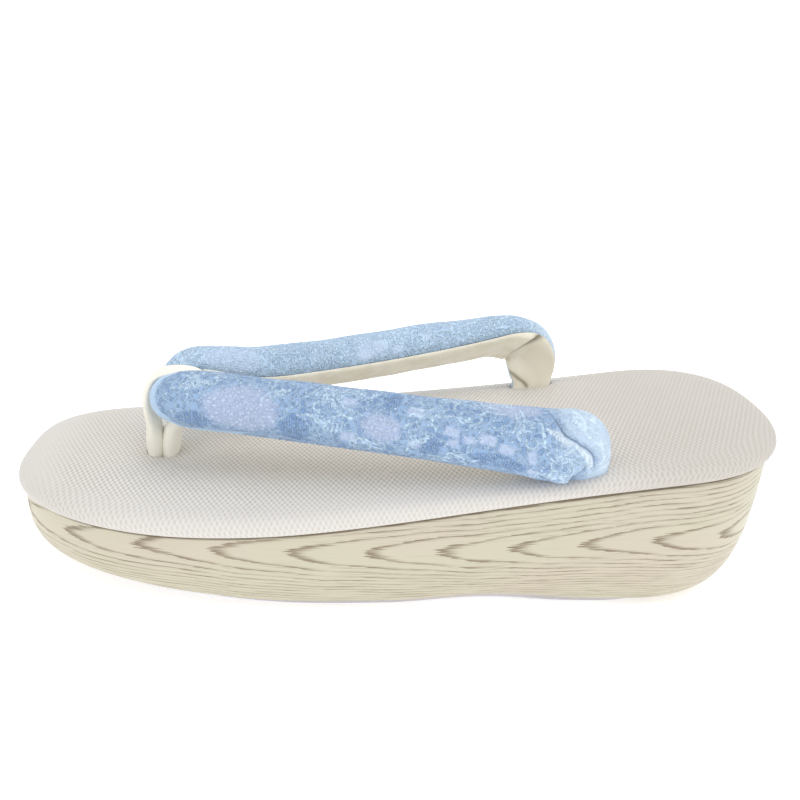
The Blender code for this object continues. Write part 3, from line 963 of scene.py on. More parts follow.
class Finish:
    """A material and the nodes that make its colour, roughness and relief."""

    def __init__(self, name):
        self.material = bpy.data.materials.new(name)
        self.material.use_nodes = True
        self.tree = self.material.node_tree
        self.shader = self.tree.nodes["Principled BSDF"]

    def node(self, kind, **settings):
        """A new node with its settings."""
        node = self.tree.nodes.new(kind)
        for key, setting in settings.items():
            setattr(node, key, setting)
        return node

    def join(self, value, socket):
        """Feeds a signal, an output or a plain value to a socket."""
        if isinstance(value, Signal):
            self.tree.links.new(value.socket, socket)
        elif isinstance(value, bpy.types.NodeSocket):
            self.tree.links.new(value, socket)
        else:
            socket.default_value = value

    def math(self, operation, *terms, clamp=False):
        """The output of a Math node."""
        node = self.node("ShaderNodeMath", operation=operation, use_clamp=clamp)
        for term, socket in zip(terms, node.inputs):
            self.join(term, socket)
        return Signal(self, node.outputs[0])

    def uv(self, name):
        """Both coordinates of a UV map, in millimetres."""
        parts = self.node("ShaderNodeSeparateXYZ")
        self.join(self.node("ShaderNodeUVMap", uv_map=name).outputs["UV"], parts.inputs[0])
        return tuple(Signal(self, parts.outputs[k]) * MILLIMETRES for k in range(2))

    def place(self):
        """The three object coordinates, in millimetres."""
        parts = self.node("ShaderNodeSeparateXYZ")
        self.join(self.node("ShaderNodeTexCoord").outputs["Object"], parts.inputs[0])
        return tuple(Signal(self, parts.outputs[k]) * MILLIMETRES for k in range(3))

    def reading(self, name):
        """An attribute of the mesh."""
        return Signal(self, self.node("ShaderNodeAttribute", attribute_name=name).outputs["Fac"])

    def spot(self, *place):
        """A place as one vector."""
        node = self.node("ShaderNodeCombineXYZ")
        for value, socket in zip(place, node.inputs):
            self.join(value, socket)
        return node.outputs[0]

    def noises(self, table, *place):
        """Soft noises from 0 to 1 at a place, by the names of a table's rows."""
        spot = self.spot(*place)
        made = {}
        for name, (*stretch, shift, detail, roughness) in table.items():
            moved = self.node("ShaderNodeVectorMath", operation="MULTIPLY_ADD")
            node = self.node("ShaderNodeTexNoise")
            self.join(spot, moved.inputs[0])
            self.join(stretch, moved.inputs[1])
            self.join((0.0, 0.0, shift), moved.inputs[2])
            self.join(moved.outputs[0], node.inputs["Vector"])
            self.join(1.0, node.inputs["Scale"])
            self.join(detail, node.inputs["Detail"])
            self.join(roughness, node.inputs["Roughness"])
            made[name] = Signal(self, node.outputs[0])
        return SimpleNamespace(**made)

    def cells(self, scale, *place):
        """Distance to the nearest wall of an irregular net of cells, in shares of a cell."""
        node = self.node("ShaderNodeTexVoronoi", feature="DISTANCE_TO_EDGE")
        self.join(self.spot(*place), node.inputs["Vector"])
        self.join(scale, node.inputs["Scale"])
        return Signal(self, node.outputs["Distance"])

    def mix(self, share, first, second):
        """A colour between two others."""
        node = self.node("ShaderNodeMix", data_type="RGBA")
        self.join(share, node.inputs[MIX_SHARE])
        self.join(first, node.inputs[MIX_FIRST])
        self.join(second, node.inputs[MIX_SECOND])
        return node.outputs[MIX_RESULT]

    def relief(self, height):
        """Bump from a height in millimetres."""
        node = self.node("ShaderNodeBump")
        self.join(1.0, node.inputs["Strength"])
        self.join(1.0 / MILLIMETRES, node.inputs["Distance"])
        self.join(height, node.inputs["Height"])
        self.join(node.outputs[0], self.shader.inputs["Normal"])

    def set(self, **values):
        """Values of the shader's sockets, by name with underscores."""
        for key, value in values.items():
            self.join(value, self.shader.inputs[key.replace("_", " ")])


def wood_vinyl(colours):
    """Printed vinyl: cathedral grain, whose lines are parabolas one pitch apart along the sheet.

    A line keeps the same phase: distance along, in pitches, less a bend that grows as the square of
    the height from the grain's axis, and as a straight slope past a height of its own above or below
    it. Fibres stretch the phase lengthwise, and a slow noise, the lull, breaks the lines.
    """
    finish = Finish("printed_wood_vinyl")
    along, height = finish.uv("sheet")
    noise = finish.noises(WOOD_NOISES, along, height)
    high = height + (noise.sway - 0.5) * WOOD.sway
    off_axis = abs(high)
    straight = high.step(*WOOD.above_step).between(GRAIN_STRAIGHT_BELOW, GRAIN_STRAIGHT_ABOVE)
    outer = finish.math("SMOOTH_MAX", off_axis - straight, 0.0, WOOD.softening)
    bend = (off_axis * off_axis - outer * outer) * (1.0 / (WOOD.bend * GRAIN_PITCH))
    stretched = (noise.fibre - 0.5) * WOOD.fibre_share + (noise.coarse - 0.5) * WOOD.coarse_share
    phase = (along - GRAIN_FIRST_ARCH) / GRAIN_PITCH - bend + stretched
    part = phase.fract()
    far = off_axis.step(*WOOD.far_step)
    lull = noise.lull.step(*WOOD.lull_step)
    line = part.step(*WOOD.line_step) * part.step(*WOOD.line_end_step) * lull.between(*WOOD.line_share)
    line = line * far.between(1.0, lull.between(*WOOD.far_line_share))
    hair = noise.hair.step(*WOOD.hair_step)
    second = (phase * 2.0 + WOOD.second_shift).fract()
    thin = second.step(*WOOD.second_step) * second.step(*WOOD.second_end_step) * far * WOOD.second_share
    # Painted shade: a thin dark line at the seam under the insole's lip, broken by the lull and weaker
    # towards the toe
    lip = finish.reading("drop").step(*WOOD.lip_shade_step) * lull.between(*WOOD.lip_shade_share)
    lip = lip * abs(along).step(*WOOD.lip_shade_ends_step).between(*WOOD.lip_shade_ends_share)
    dark = finish.math("MINIMUM", lip + line + hair * far.between(*WOOD.hair_share) + thin * lull, 1.0)
    warm = noise.warm.step(*WOOD.warm_step)
    ground = finish.mix(warm, linear(colours.wood), linear(colours.wood_warm))
    finish.set(Base_Color=finish.mix(dark, ground, linear(colours.grain)))
    finish.set(Roughness=dark.between(*WOOD.roughness), Specular_IOR_Level=0.42)
    finish.set(Coat_Weight=0.06, Coat_Roughness=0.30)
    finish.relief(dark * WOOD.dark_relief + hair * WOOD.hair_relief)
    return finish.material


def insole_weave(cloth, colours):
    """Woven cover: threads stand where the product of two cosines, along and across, is high.

    The weave grows fainter towards the edge, the toe and the far half of the heel, and painted shade
    darkens the tint a little at both ends, where the light falls off.
    """
    finish = Finish("woven_insole_cover")
    along, across = finish.uv("cloth")
    noise = finish.noises(WEAVE_NOISES, along, across)
    wander = noise.wander - 0.5
    lengths = along + across * WEAVE.skew + wander * WEAVE.length_wander
    widths = across - along * WEAVE.skew + wander * WEAVE.width_wander
    weave = lengths.wave(cloth.weave_length * MILLIMETRES) * widths.wave(cloth.weave_width * MILLIMETRES)
    thread = weave.step(*WEAVE.thread_step)
    heel = along.step(*WEAVE.heel_step)
    far_side = finish.place()[1].step(*WEAVE.far_side_step)
    clear = finish.reading("inset").step(*WEAVE.edge_step).between(*WEAVE.edge_share)
    clear = along.step(*WEAVE.toe_step) * clear * (heel * far_side).between(*WEAVE.heel_share)
    tint = clear.between(WEAVE.even_tint, thread) * noise.yarn.between(*WEAVE.yarn_share)
    tint = tint + noise.cloud.step(*WEAVE.cloud_step) * WEAVE.cloud_share
    # Painted shade: the cloth darkens towards the heel and towards the toe, where the light falls off
    tint = tint - (heel * WEAVE.heel_shade + along.step(*WEAVE.front_step) * WEAVE.front_shade)
    finish.set(Base_Color=finish.mix(tint, linear(colours.thread_gap), linear(colours.thread)))
    finish.set(Roughness=0.62, Specular_IOR_Level=0.30, Sheen_Weight=0.10, Sheen_Roughness=0.5)
    relief = thread * clear.between(*WEAVE.relief_share) * (cloth.weave_relief * MILLIMETRES)
    finish.relief(relief + noise.yarn * WEAVE.yarn_relief)
    return finish.material


def strap_lace(cloth, colours):
    """Lace over padding: a crinkled ground, nets, ribs and thin cords, all of low contrast.

    The ground is the level lines of a noise. The attributes hold signed distances from each kind of
    motif, in millimetres, so a filling is where a distance is below zero and a cord is where it is
    near zero, broken up by a coarser noise. The near arm is the left one, and painted shade makes its
    ground deeper, while painted light mixes the far arm toward the cord colour. The strap's ends are
    paler, partly as lace and partly as painted light, painted highlight lies on leaf shapes beside the
    end's fold, and painted shade runs along the sharp folds.
    """
    finish = Finish("blue_lace")
    along, up = finish.uv("lace")
    place = finish.place()
    noise = finish.noises(LACE_NOISES, *place)
    net, rib, small, leaf, cord, fold = (finish.reading(name) for name in LACE_KINDS)
    near = along.step(*LACE.near_step)
    crepe = abs(noise.crinkle - 0.5).step(*LACE.crepe_step)
    hollow = noise.crinkle.step(*LACE.hollow_step)
    cloud = noise.cloud.step(*LACE.cloud_step)
    drift = noise.drift - 0.5
    wander = (noise.wander - 0.5) * LACE.cord_wander
    half = cloth.cord_width * MILLIMETRES / 2
    cords = abs(cord + wander).step(*(half * share for share in LACE.cord_step))
    cords = cords * noise.broken.step(*LACE.broken_step).between(*LACE.cord_share)
    in_net = (net + drift * LACE.net_drift).step(*LACE.net_step)
    in_rib = (rib + drift * LACE.rib_drift).step(*LACE.rib_step)
    in_small = (small + drift * LACE.fine_drift).step(*LACE.small_step)
    # Painted highlight in leaf shapes beside the fold at the strap's end
    in_leaf_highlight = (leaf + drift * LACE.fine_drift).step(*LACE.leaf_highlight_step)
    ribs = (along + drift * LACE.rib_sway).wave(cloth.rib_pitch * MILLIMETRES) * 0.5 + 0.5
    cells = finish.cells(LACE.cell_scale, *place).step(*LACE.cell_step)
    # The strap's paler ends: partly paler lace, partly painted light on the top of the end's bulge and on
    # the far arm's shaded end
    tail = along.step(*LACE.tail_step) * up.step(*LACE.tail_up_step).between(*LACE.tail_share)
    tail = tail.math("MAXIMUM", along.step(*LACE.far_tail_step))
    rim = (along - up * up * LACE.rim_bend).step(*LACE.rim_step) * near
    # Painted shade along the sharp folds
    fold_painted_shade = (fold + wander * 0.5).step(*LACE.fold_painted_shade_step)
    light = LACE.ground + crepe * LACE.crepe_light - hollow * LACE.hollow_dark
    # Painted shade: the near arm's ground and ribs are darker
    light = light + cloud * LACE.cloud_light - near * LACE.near_arm_painted_shade
    rib_light = ribs.between(*LACE.rib_light) - near * LACE.near_arm_painted_shade - crepe * LACE.rib_crepe_dark
    light = finish.math("ADD", light, in_rib * rib_light, clamp=True)
    base = finish.mix(light, linear(colours.lace_deep), linear(colours.lace))
    netting = finish.mix(cells, linear(colours.lilac_deep), linear(colours.lilac))
    for share, over in (
        (in_net * LACE.netting_share, netting),
        (in_small * LACE.small_share, linear(colours.lilac)),
        # painted highlight on the leaf shapes
        (in_leaf_highlight * LACE.leaf_highlight_share, linear(colours.pale_and_highlight)),
        # painted light: the far arm is mixed toward the cord colour
        ((1.0 - near) * LACE.far_arm_painted_light, linear(colours.cord)),
        (cords * LACE.cords_share, linear(colours.cord)),
        (tail * LACE.pale_share, linear(colours.pale_and_highlight)),
        (rim * LACE.rim_share, linear(colours.lace)),
        (fold_painted_shade * LACE.fold_painted_shade_share, linear(colours.lace_shade)),
    ):
        base = finish.mix(share, base, over)
    finish.set(Base_Color=base, Roughness=0.78, Specular_IOR_Level=0.25)
    finish.set(Sheen_Weight=0.16, Sheen_Roughness=0.5)
    crimp = 1.0 - in_net * LACE.net_flat - in_small * LACE.small_flat
    relief = (crepe - hollow * LACE.hollow_relief) * crimp * (cloth.crepe_relief * MILLIMETRES)
    relief = relief + cords * (cloth.cord_relief * MILLIMETRES)
    relief = relief + (in_rib * ribs + in_net * cells) * LACE.filling_relief
    finish.relief(relief * (1.0 - rim) * (1.0 - tail * LACE.tail_flat))
    return finish.material


def cream_suede(name, colours):
    """Soft cream suede: an uneven nap, painted shade down the legs and painted light on the loop."""
    finish = Finish(name)
    place = finish.place()
    noise = finish.noises(SUEDE_NOISES, *place)
    lie = noise.nap.step(*SUEDE.nap_step) * SUEDE.nap_share + noise.fuzz * SUEDE.fuzz_share
    # Painted shade down the legs of the linings, and painted light that keeps the loop even and light
    lie = lie * place[0].step(*SUEDE.leg_shade_step).between(*SUEDE.leg_shade_share)
    lie = lie.math("MAXIMUM", place[0].step(*SUEDE.loop_light_step))
    base = finish.mix(lie, darker(colours.lining, SUEDE.deep), linear(colours.lining))
    # Painted shade along the lining's folds, from the crease attribute
    shaded = (finish.reading("crease") * SUEDE.fold_shade).math("MINIMUM", 1.0)
    finish.set(Base_Color=finish.mix(shaded, base, linear(colours.lining_shade)))
    finish.set(Roughness=0.86, Specular_IOR_Level=0.22, Sheen_Weight=0.30, Sheen_Roughness=0.4)
    finish.relief(noise.fuzz * SUEDE.fuzz_relief + noise.nap * SUEDE.nap_relief)
    return finish.material


def sole_rubber(colours):
    """Pale sheet rubber, matt, with fine pores and a little grey from handling."""
    finish = Finish("pale_sole_rubber")
    noise = finish.noises(RUBBER_NOISES, *finish.place())
    wear = noise.wear.step(*RUBBER.wear_step)
    worn = darker(colours.rubber, RUBBER.worn)
    finish.set(Base_Color=finish.mix(wear * RUBBER.wear_share, linear(colours.rubber), worn))
    finish.set(Roughness=wear.between(*RUBBER.roughness), Specular_IOR_Level=0.35)
    finish.relief(noise.pores * RUBBER.relief)
    return finish.material


def build_platform(sole, colours):
    """The wedge: its wall runs from under the insole's lip to a foot drawn in as a superellipse.

    At a height share t the wall stands in by 1 - (1 - t^p)^(1/p) of the foot's inset. The UV map is
    the flat vinyl sheet: distance from the toe tip, and height above the grain's axis.
    """
    top = outline(sole, WALL_INSET, WALL_INSET, WALL_INSET)
    foot = outline(sole, FOOT_INSET_TOE, FOOT_INSET_HEEL, FOOT_INSET_SIDE)
    top = raised(top, lip_height(sole, top[:, 0]))
    foot = raised(foot, foot_height(sole, foot[:, 0]) + OUTSOLE_THICKNESS + GAP)
    level = np.sin(np.linspace(0.0, np.pi / 2, WALL_TURNS)) ** (2.0 / WALL_POWER)
    level = np.concatenate((WALL_TOP_LEVELS, level[level > WALL_TURN_FROM]))
    inwards = 1.0 - (1.0 - level**WALL_POWER) ** (1.0 / WALL_POWER)
    share = np.column_stack((inwards, inwards, level))[:, None, :]
    wall = top[None] + (foot - top)[None] * share
    down = np.linalg.norm(np.diff(wall, axis=0), axis=2)
    down = np.vstack((np.zeros(len(top)), np.cumsum(down, axis=0)))
    along = run_along(np.vstack((top, top[:1])))
    along = along - along[sole.stations]
    rise = GRAIN_AXIS_RISE * np.maximum(0.0, np.abs(along) - GRAIN_AXIS_RISE_FROM / MILLIMETRES)
    axis = GRAIN_AXIS_HEIGHT / MILLIMETRES + rise
    above = closed(top[None, :, 2] - down) - axis[None]
    uv = np.stack((np.broadcast_to(along, above.shape), above), axis=-1)
    ids = numbered(wall)
    upper, lower = zip_ids(ids[0], sole.stations), zip_ids(ids[-1], sole.stations)[:, ::-1]
    flat = np.zeros((*upper.shape, 2))
    patches = [patch(closed(ids), uv), patch(upper, flat), patch(lower, flat)]
    material = wood_vinyl(colours)
    drop = (("drop", down * MILLIMETRES),)
    points = wall.reshape(-1, 3)
    return add_piece(
        "platform_wrap", points, patches, "sheet", material, "platform", drop
    )


def insole_top(sole, x, y):
    """Height of the insole's top: the ramp, a low crown, and a hollow round each entry.

    The crown is the product of a smooth step in from the sides and one in from the ends. The hollow
    goes down over the edge of a superellipse, with a wider Gaussian dip round it.
    """
    edge = INSOLE_EDGE[-1][1]
    front, back = sole.length / 2, -sole.length / 2
    side = half_width(sole, np.clip(x, back, front), front, back, 0.0) - np.abs(y)
    ends = sole.length / 2 - np.abs(x)
    crown = INSOLE_CROWN * ease((side - edge) / CROWN_REACH) * ease((ends - edge) / CROWN_REACH)
    height = lip_height(sole, x) + sole.insole_thickness + crown
    for centre_x, centre_y, half_x, half_y in ENTRIES:
        far_x, far_y = np.abs(x - centre_x) / half_x, np.abs(y - centre_y) / half_y
        reach = (far_x**ENTRY_POWER + far_y**ENTRY_POWER) ** (1.0 / ENTRY_POWER)
        beyond = (reach - 1.0) * min(half_x, half_y)
        hole = 1.0 - ease((beyond + ENTRY_RIM) / ENTRY_RIM_FADE)
        dip = np.exp(-((np.maximum(0.0, beyond) / ENTRY_DIP_REACH) ** 2))
        height = height - ENTRY_DEPTH * hole - ENTRY_DIP * dip
    return height


def build_insole(sole, cloth, colours):
    """The cushioned insole: rings over its rounded edge, then a grid across its top.

    The UV map is the flat cloth: plan metres on the top, continued outwards by the distance run over
    the edge, so that the threads keep their spacing as they turn down.
    """
    profile = smooth_rows(INSOLE_EDGE, EDGE_STEPS)
    thickness = sole.insole_thickness
    plans = [outline(sole, inset, inset, inset) for inset in profile[:, 1]]
    rings = []
    for (rise, inset), plan in zip(profile, plans):
        rings.append(raised(plan, lip_height(sole, plan[:, 0]) + GAP + rise * (thickness - GAP)))
    rings = np.array(rings)
    turned = np.column_stack((profile[:, 1], profile[:, 0] * thickness))[::-1]
    over = run_along(turned)[::-1]
    rim = rings[-1, :, :2]
    outwards = unit(plans[profile[:, 1].argmin()] - rim)
    edge_uv = rim[None] + outwards[None] * over[:, None, None]
    ids = numbered(rings)
    top = grid_across(rings[-1], sole.stations, sole.across)
    top[:, 1:-1, 2] = insole_top(sole, top[..., 0], top[..., 1])[:, 1:-1]
    middle, top_ids = inside_ids(ids, ids[-1], top)
    under_ids = zip_ids(ids[0], sole.stations)
    patches = [
        patch(closed(ids), closed(edge_uv)),
        turned_over(patch(top_ids, top[..., :2])),
        patch(under_ids, np.zeros((*under_ids.shape, 2))),
    ]
    points = np.vstack((rings.reshape(-1, 3), middle))
    material = insole_weave(cloth, colours)
    side = np.abs(top[1:-1, :1, 1]) - np.abs(top[1:-1, 1:-1, 1])
    inset = np.concatenate((np.repeat(profile[:, 1], len(rim)), side.ravel() + INSOLE_EDGE[-1][1]))
    shading = (("inset", inset * MILLIMETRES),)
    piece = add_piece("insole_cover", points, patches, "cloth", material, "insole", shading)
    return piece


def build_outsole(sole, colours):
    """The outsole: a sheet with a rounded lower edge, and shallow waved grooves across its underside.

    A groove is where a cosine along the foot, shifted by a slower cosine across it, is near its low
    point. The grooves stop short of the rim and never reach below the sole's flat spots.
    """
    rings = []
    for rise, inset in smooth_rows(OUTSOLE_EDGE, OUTSOLE_EDGE_STEPS):
        inset = inset + OUTSOLE_SETBACK
        plan = outline(sole, FOOT_INSET_TOE + inset, FOOT_INSET_HEEL + inset, FOOT_INSET_SIDE + inset)
        rings.append(raised(plan, foot_height(sole, plan[:, 0]) + rise * OUTSOLE_THICKNESS))
    rings = np.array(rings)
    ids = numbered(rings)
    under = grid_across(rings[0], sole.stations, OUTSOLE_ACROSS)
    x, y = under[..., 0], under[..., 1]
    side = np.abs(y[:, :1]) - np.abs(y)
    ends = np.minimum(x[0, 0] - x, x - x[-1, 0])
    shift = TREAD_WAVE * np.cos(2 * np.pi * y / TREAD_WAVE_PITCH)
    wave = np.cos(2 * np.pi * (x / TREAD_PITCH + shift))
    inside = ease((np.minimum(side, ends) - TREAD_MARGIN) / TREAD_MARGIN_FADE)
    groove = ease((-wave - TREAD_GROOVE_FROM) / TREAD_GROOVE_FADE) * inside
    under[..., 2] = foot_height(sole, x) + TREAD_DEPTH * groove
    middle, under_ids = inside_ids(ids, ids[0], under)
    top_ids = zip_ids(ids[-1], sole.stations)[:, ::-1]
    patches = [
        patch(closed(ids), closed(rings)[..., :2]),
        patch(under_ids, under[..., :2]),
        patch(top_ids, np.zeros((*top_ids.shape, 2))),
    ]
    points = np.vstack((rings.reshape(-1, 3), middle))
    material = sole_rubber(colours)
    return add_piece("outsole_sheet", points, patches, "flat", material, "outsole")


def arm_frames(sole, arm_rows):
    """An arm's path from the neck to its slot: centres, width and face directions, and sizes, as rows.

    A row's up is counted from the insole's top, its lean turns the face from up (0) to outwards (90),
    and its heading is the plan direction of the strap, 0 backwards and 90 outwards.
    """
    rows = smooth_rows(NECK_ROWS + arm_rows + SLOT_ROWS, ROW_STEPS)
    table = dict(zip(STRAP_COLUMNS, rows.T))
    centre = np.column_stack((table["x"], table["out"], table["up"] + top_height(sole, table["x"])))
    along = unit(np.gradient(centre, axis=0))
    along[0] = (0.0, 1.0, 0.0)
    along[-1] = along[-2] = (0.0, 0.0, -1.0)
    heading = np.radians(table["heading"])
    outwards = np.column_stack((np.sin(heading), np.cos(heading), np.zeros(len(rows))))
    upwards = unit(np.cross(along, outwards))
    upwards *= np.where(upwards[:, 2:] - upwards[:, :1] < 0, -1.0, 1.0)
    outwards = np.cross(upwards, along)
    outwards *= np.where(outwards[:, 1:2] + outwards[:, :1] < 0, -1.0, 1.0)
    lean = np.radians(table["lean"])[:, None]
    face = unit(np.sin(lean) * outwards + np.cos(lean) * upwards)
    across = np.cross(along, face)
    return np.column_stack((centre, across, face, table["width"], table["thick"]))


def mirrored(frames):
    """An arm's frames on the other side of the sandal."""
    flip = np.ones(frames.shape[1])
    flip[SIDEWAYS_COLUMNS] = -1.0
    return frames * flip


def split(frames):
    """Centres, width directions, face directions, widths and thicknesses, each ready to multiply a ring."""
    centre, across, face = (frames[:, None, k : k + 3] for k in (0, 3, 6))
    return centre, unit(across), unit(face), frames[:, 9, None, None], frames[:, 10, None, None]


def strap_section(sides):
    """A padded section of width and height 1: a crowned face over a flatter underside.

    Each half is a superellipse. The points are at even steps round it, closer on the face.
    """
    turn = np.linspace(0.0, 2 * np.pi, FINE_STEPS + 1)
    side, height = np.cos(turn), np.sin(turn)
    under = height < 0
    tall = np.where(under, FLAT_SHARE, 1 - FLAT_SHARE)
    broad_power = np.where(under, FLAT_SQUARENESS[0], CROWN_SQUARENESS)
    tall_power = np.where(under, FLAT_SQUARENESS[1], CROWN_SQUARENESS)
    broad = np.sign(side) * np.abs(side) ** broad_power / 2
    shape = np.column_stack((broad, np.sign(height) * np.abs(height) ** tall_power * tall))
    steps = np.linalg.norm(np.diff(shape * SECTION_SIZE, axis=0), axis=1)
    steps *= np.where(under[1:], UNDERSIDE_SPARING, 1.0)
    run = np.concatenate(([0.0], np.cumsum(steps)))
    even = np.linspace(0.0, run[-1], sides + 1)[:-1]
    return np.column_stack([np.interp(even, run, shape[:, k]) for k in range(2)])


def turned_place(along, up, start, high, turn):
    """A place counted from a point, along a direction given in degrees and across it."""
    turn = np.radians(turn)
    far, off = along - start, up - high
    return far * np.cos(turn) + off * np.sin(turn), off * np.cos(turn) - far * np.sin(turn)


def ellipse_edge(along, up, row):
    """First-order signed distance from a turned ellipse: (q - 1) over the slope of its radius q."""
    middle, high, long, broad, turn = row
    a, b = turned_place(along, up, middle, high, turn)
    radius = np.hypot(a / long, b / broad)
    slope = np.hypot(a / long**2, b / broad**2)
    return (radius - 1.0) * radius / np.maximum(slope, LEAST_SLOPE)


def leaf_edge(along, up, row):
    """Signed distance from a leaf: its half width is a sine of a power of the share of its length."""
    start, high, length, width, turn = row
    a, b = turned_place(along, up, start, high, turn)
    share = np.clip(a / length, 0.0, 1.0)
    inside = np.abs(b) - width / 2 * np.sin(np.pi * share**LEAF_POWER)
    outside = np.hypot(np.maximum(0.0, np.abs(a - length / 2) - length / 2), b)
    return np.where((a < 0) | (a > length), outside, inside)


def box_edge(along, up, row):
    """Signed distance from a small upright rectangle."""
    middle, high, half_length, half_height = row
    a, b = np.abs(along - middle) - half_length, np.abs(up - high) - half_height
    return np.maximum(a, b)


def arc_distance(along, up, row):
    """Distance from an arc: from its circle within its angles, else from the nearer of its ends."""
    middle, high, radius, start, sweep = row
    far, off = along - middle, up - high
    turned = np.degrees(np.arctan2(off, far)) - start
    inside = turned % 360.0 <= sweep
    ends = np.radians((start, start + sweep))
    tips = [np.hypot(far - radius * np.cos(end), off - radius * np.sin(end)) for end in ends]
    return np.where(inside, np.abs(np.hypot(far, off) - radius), np.minimum(*tips))


def segment_distance(along, up, row):
    """Distance from a straight segment that starts at a point and runs a length at an angle."""
    start, high, length, turn = row
    a, b = turned_place(along, up, start, high, turn)
    return np.hypot(a - np.clip(a, 0.0, length), b)


def sprig_arcs(row):
    """A sprig's arcs, turned, sized and moved to its place."""
    middle, high, scale, turn = row
    angle = np.radians(turn)
    for arc_along, arc_up, radius, start, sweep in SPRIG_ARCS:
        placed = middle + scale * (arc_along * np.cos(angle) - arc_up * np.sin(angle))
        raised_to = high + scale * (arc_along * np.sin(angle) + arc_up * np.cos(angle))
        yield placed, raised_to, radius * scale, start + turn, sweep


def lace_layout(along, up):
    """Signed distances in millimetres from the lace's motifs and the leaf shapes of painted highlight,
    by kind; a cord's is from its middle, as is that of a fold's line of painted shade.
    """
    layout = {}
    kinds = (
        ("net", NET_OVALS, ellipse_edge),
        ("rib", RIB_OVALS, ellipse_edge),
        ("small", PATCHES, box_edge),
        ("leaf", LEAF_HIGHLIGHTS, leaf_edge),
    )
    for name, rows, edge in kinds:
        layout[name] = np.min([edge(along, up, row) for row in rows], axis=0)
    cord = [arc_distance(along, up, arc) for row in SPRIGS for arc in sprig_arcs(row)]
    for start, high, count, step, length, slant in FEATHERS:
        cord += [
            segment_distance(along, up, (start + k * step, high, length, slant)) for k in range(count)
        ]
    layout["cord"] = np.min(cord, axis=0)
    layout["fold"] = np.min([segment_distance(along, up, row) for row in SHARP_FOLDS], axis=0)
    return {name: np.clip(layout[name], -FAR_OFF, FAR_OFF) for name in LACE_KINDS}


def crease_depth(along, up):
    """Depth in millimetres of the strap's creases: a Gaussian trough along each segment, with a low lip."""
    depth = np.zeros(along.shape)
    for along_a, up_a, along_b, up_b, wide, deep in CREASES:
        run, rise = along_b - along_a, up_b - up_a
        length = np.hypot(run, rise)
        a, b = turned_place(along, up, along_a, up_a, np.degrees(np.arctan2(rise, run)))
        fade = ease((a + CREASE_FADE) / (2 * CREASE_FADE))
        fade = fade * ease((length - a + CREASE_FADE) / (2 * CREASE_FADE))
        trough = np.exp(-((b / wide) ** 2))
        lip = np.exp(-(((np.abs(b) - CREASE_LIP_PLACE * wide) / (CREASE_LIP_WIDTH * wide)) ** 2))
        depth += deep * fade * (trough - CREASE_LIP * lip)
    return depth


def grid_normals(grid):
    """Unit normals of a grid that is closed round its columns: the cross product of its two slopes."""
    down = np.gradient(grid, axis=0)
    round_it = np.roll(grid, -1, axis=1) - np.roll(grid, 1, axis=1)
    return unit(np.cross(down, round_it))


def swept_grid(frames, shape):
    """Rings of a unit section set along frames: centre plus width and thickness times its two parts."""
    centre, across, face, width, thick = split(frames)
    return centre + shape[None, :, :1] * width * across + shape[None, :, 1:] * thick * face


def capped(grid, uv):
    """Points and patches of a swept grid, closed by a fan to a vertex in the middle of each end."""
    points = np.vstack((grid.reshape(-1, 3), grid[0].mean(axis=0), grid[-1].mean(axis=0)))
    ids = closed(numbered(grid))
    start, end = len(points) - 2, len(points) - 1
    first = np.vstack((np.full_like(ids[0], start), ids[0]))
    last = np.vstack((ids[-1], np.full_like(ids[-1], end)))
    flat = np.zeros((*first.shape, 2))
    return points, [patch(ids, uv), patch(first, flat), patch(last, flat)]


def swell_height(along, up):
    """Height in millimetres by which the padding swells: a sum of Gaussian mounds."""
    height = np.zeros(along.shape)
    for middle, high, half_length, half_height, tall in SWELLS:
        reach = ((along - middle) / half_length) ** 2 + ((up - high) / half_height) ** 2
        height += tall * np.exp(-reach)
    return height


def puff_height(along, up):
    """Unevenness of the padding, from about -1.6 to 1.6: two sines multiplied, and a slower pair added.

    The first sine runs along the strap and wavers round it. The second runs round it, at a slant.
    """
    short = np.sin(along / PUFF_SHORT + PUFF_WAVER * np.sin(up / PUFF_WAVER_ROUND))
    short = short * np.sin(up / PUFF_ROUND + along / PUFF_SLANT)
    slow = np.sin(along / PUFF_LONG + PUFF_LONG_START) * np.cos(up / PUFF_LONG_ROUND)
    return short + PUFF_LONG_SHARE * slow


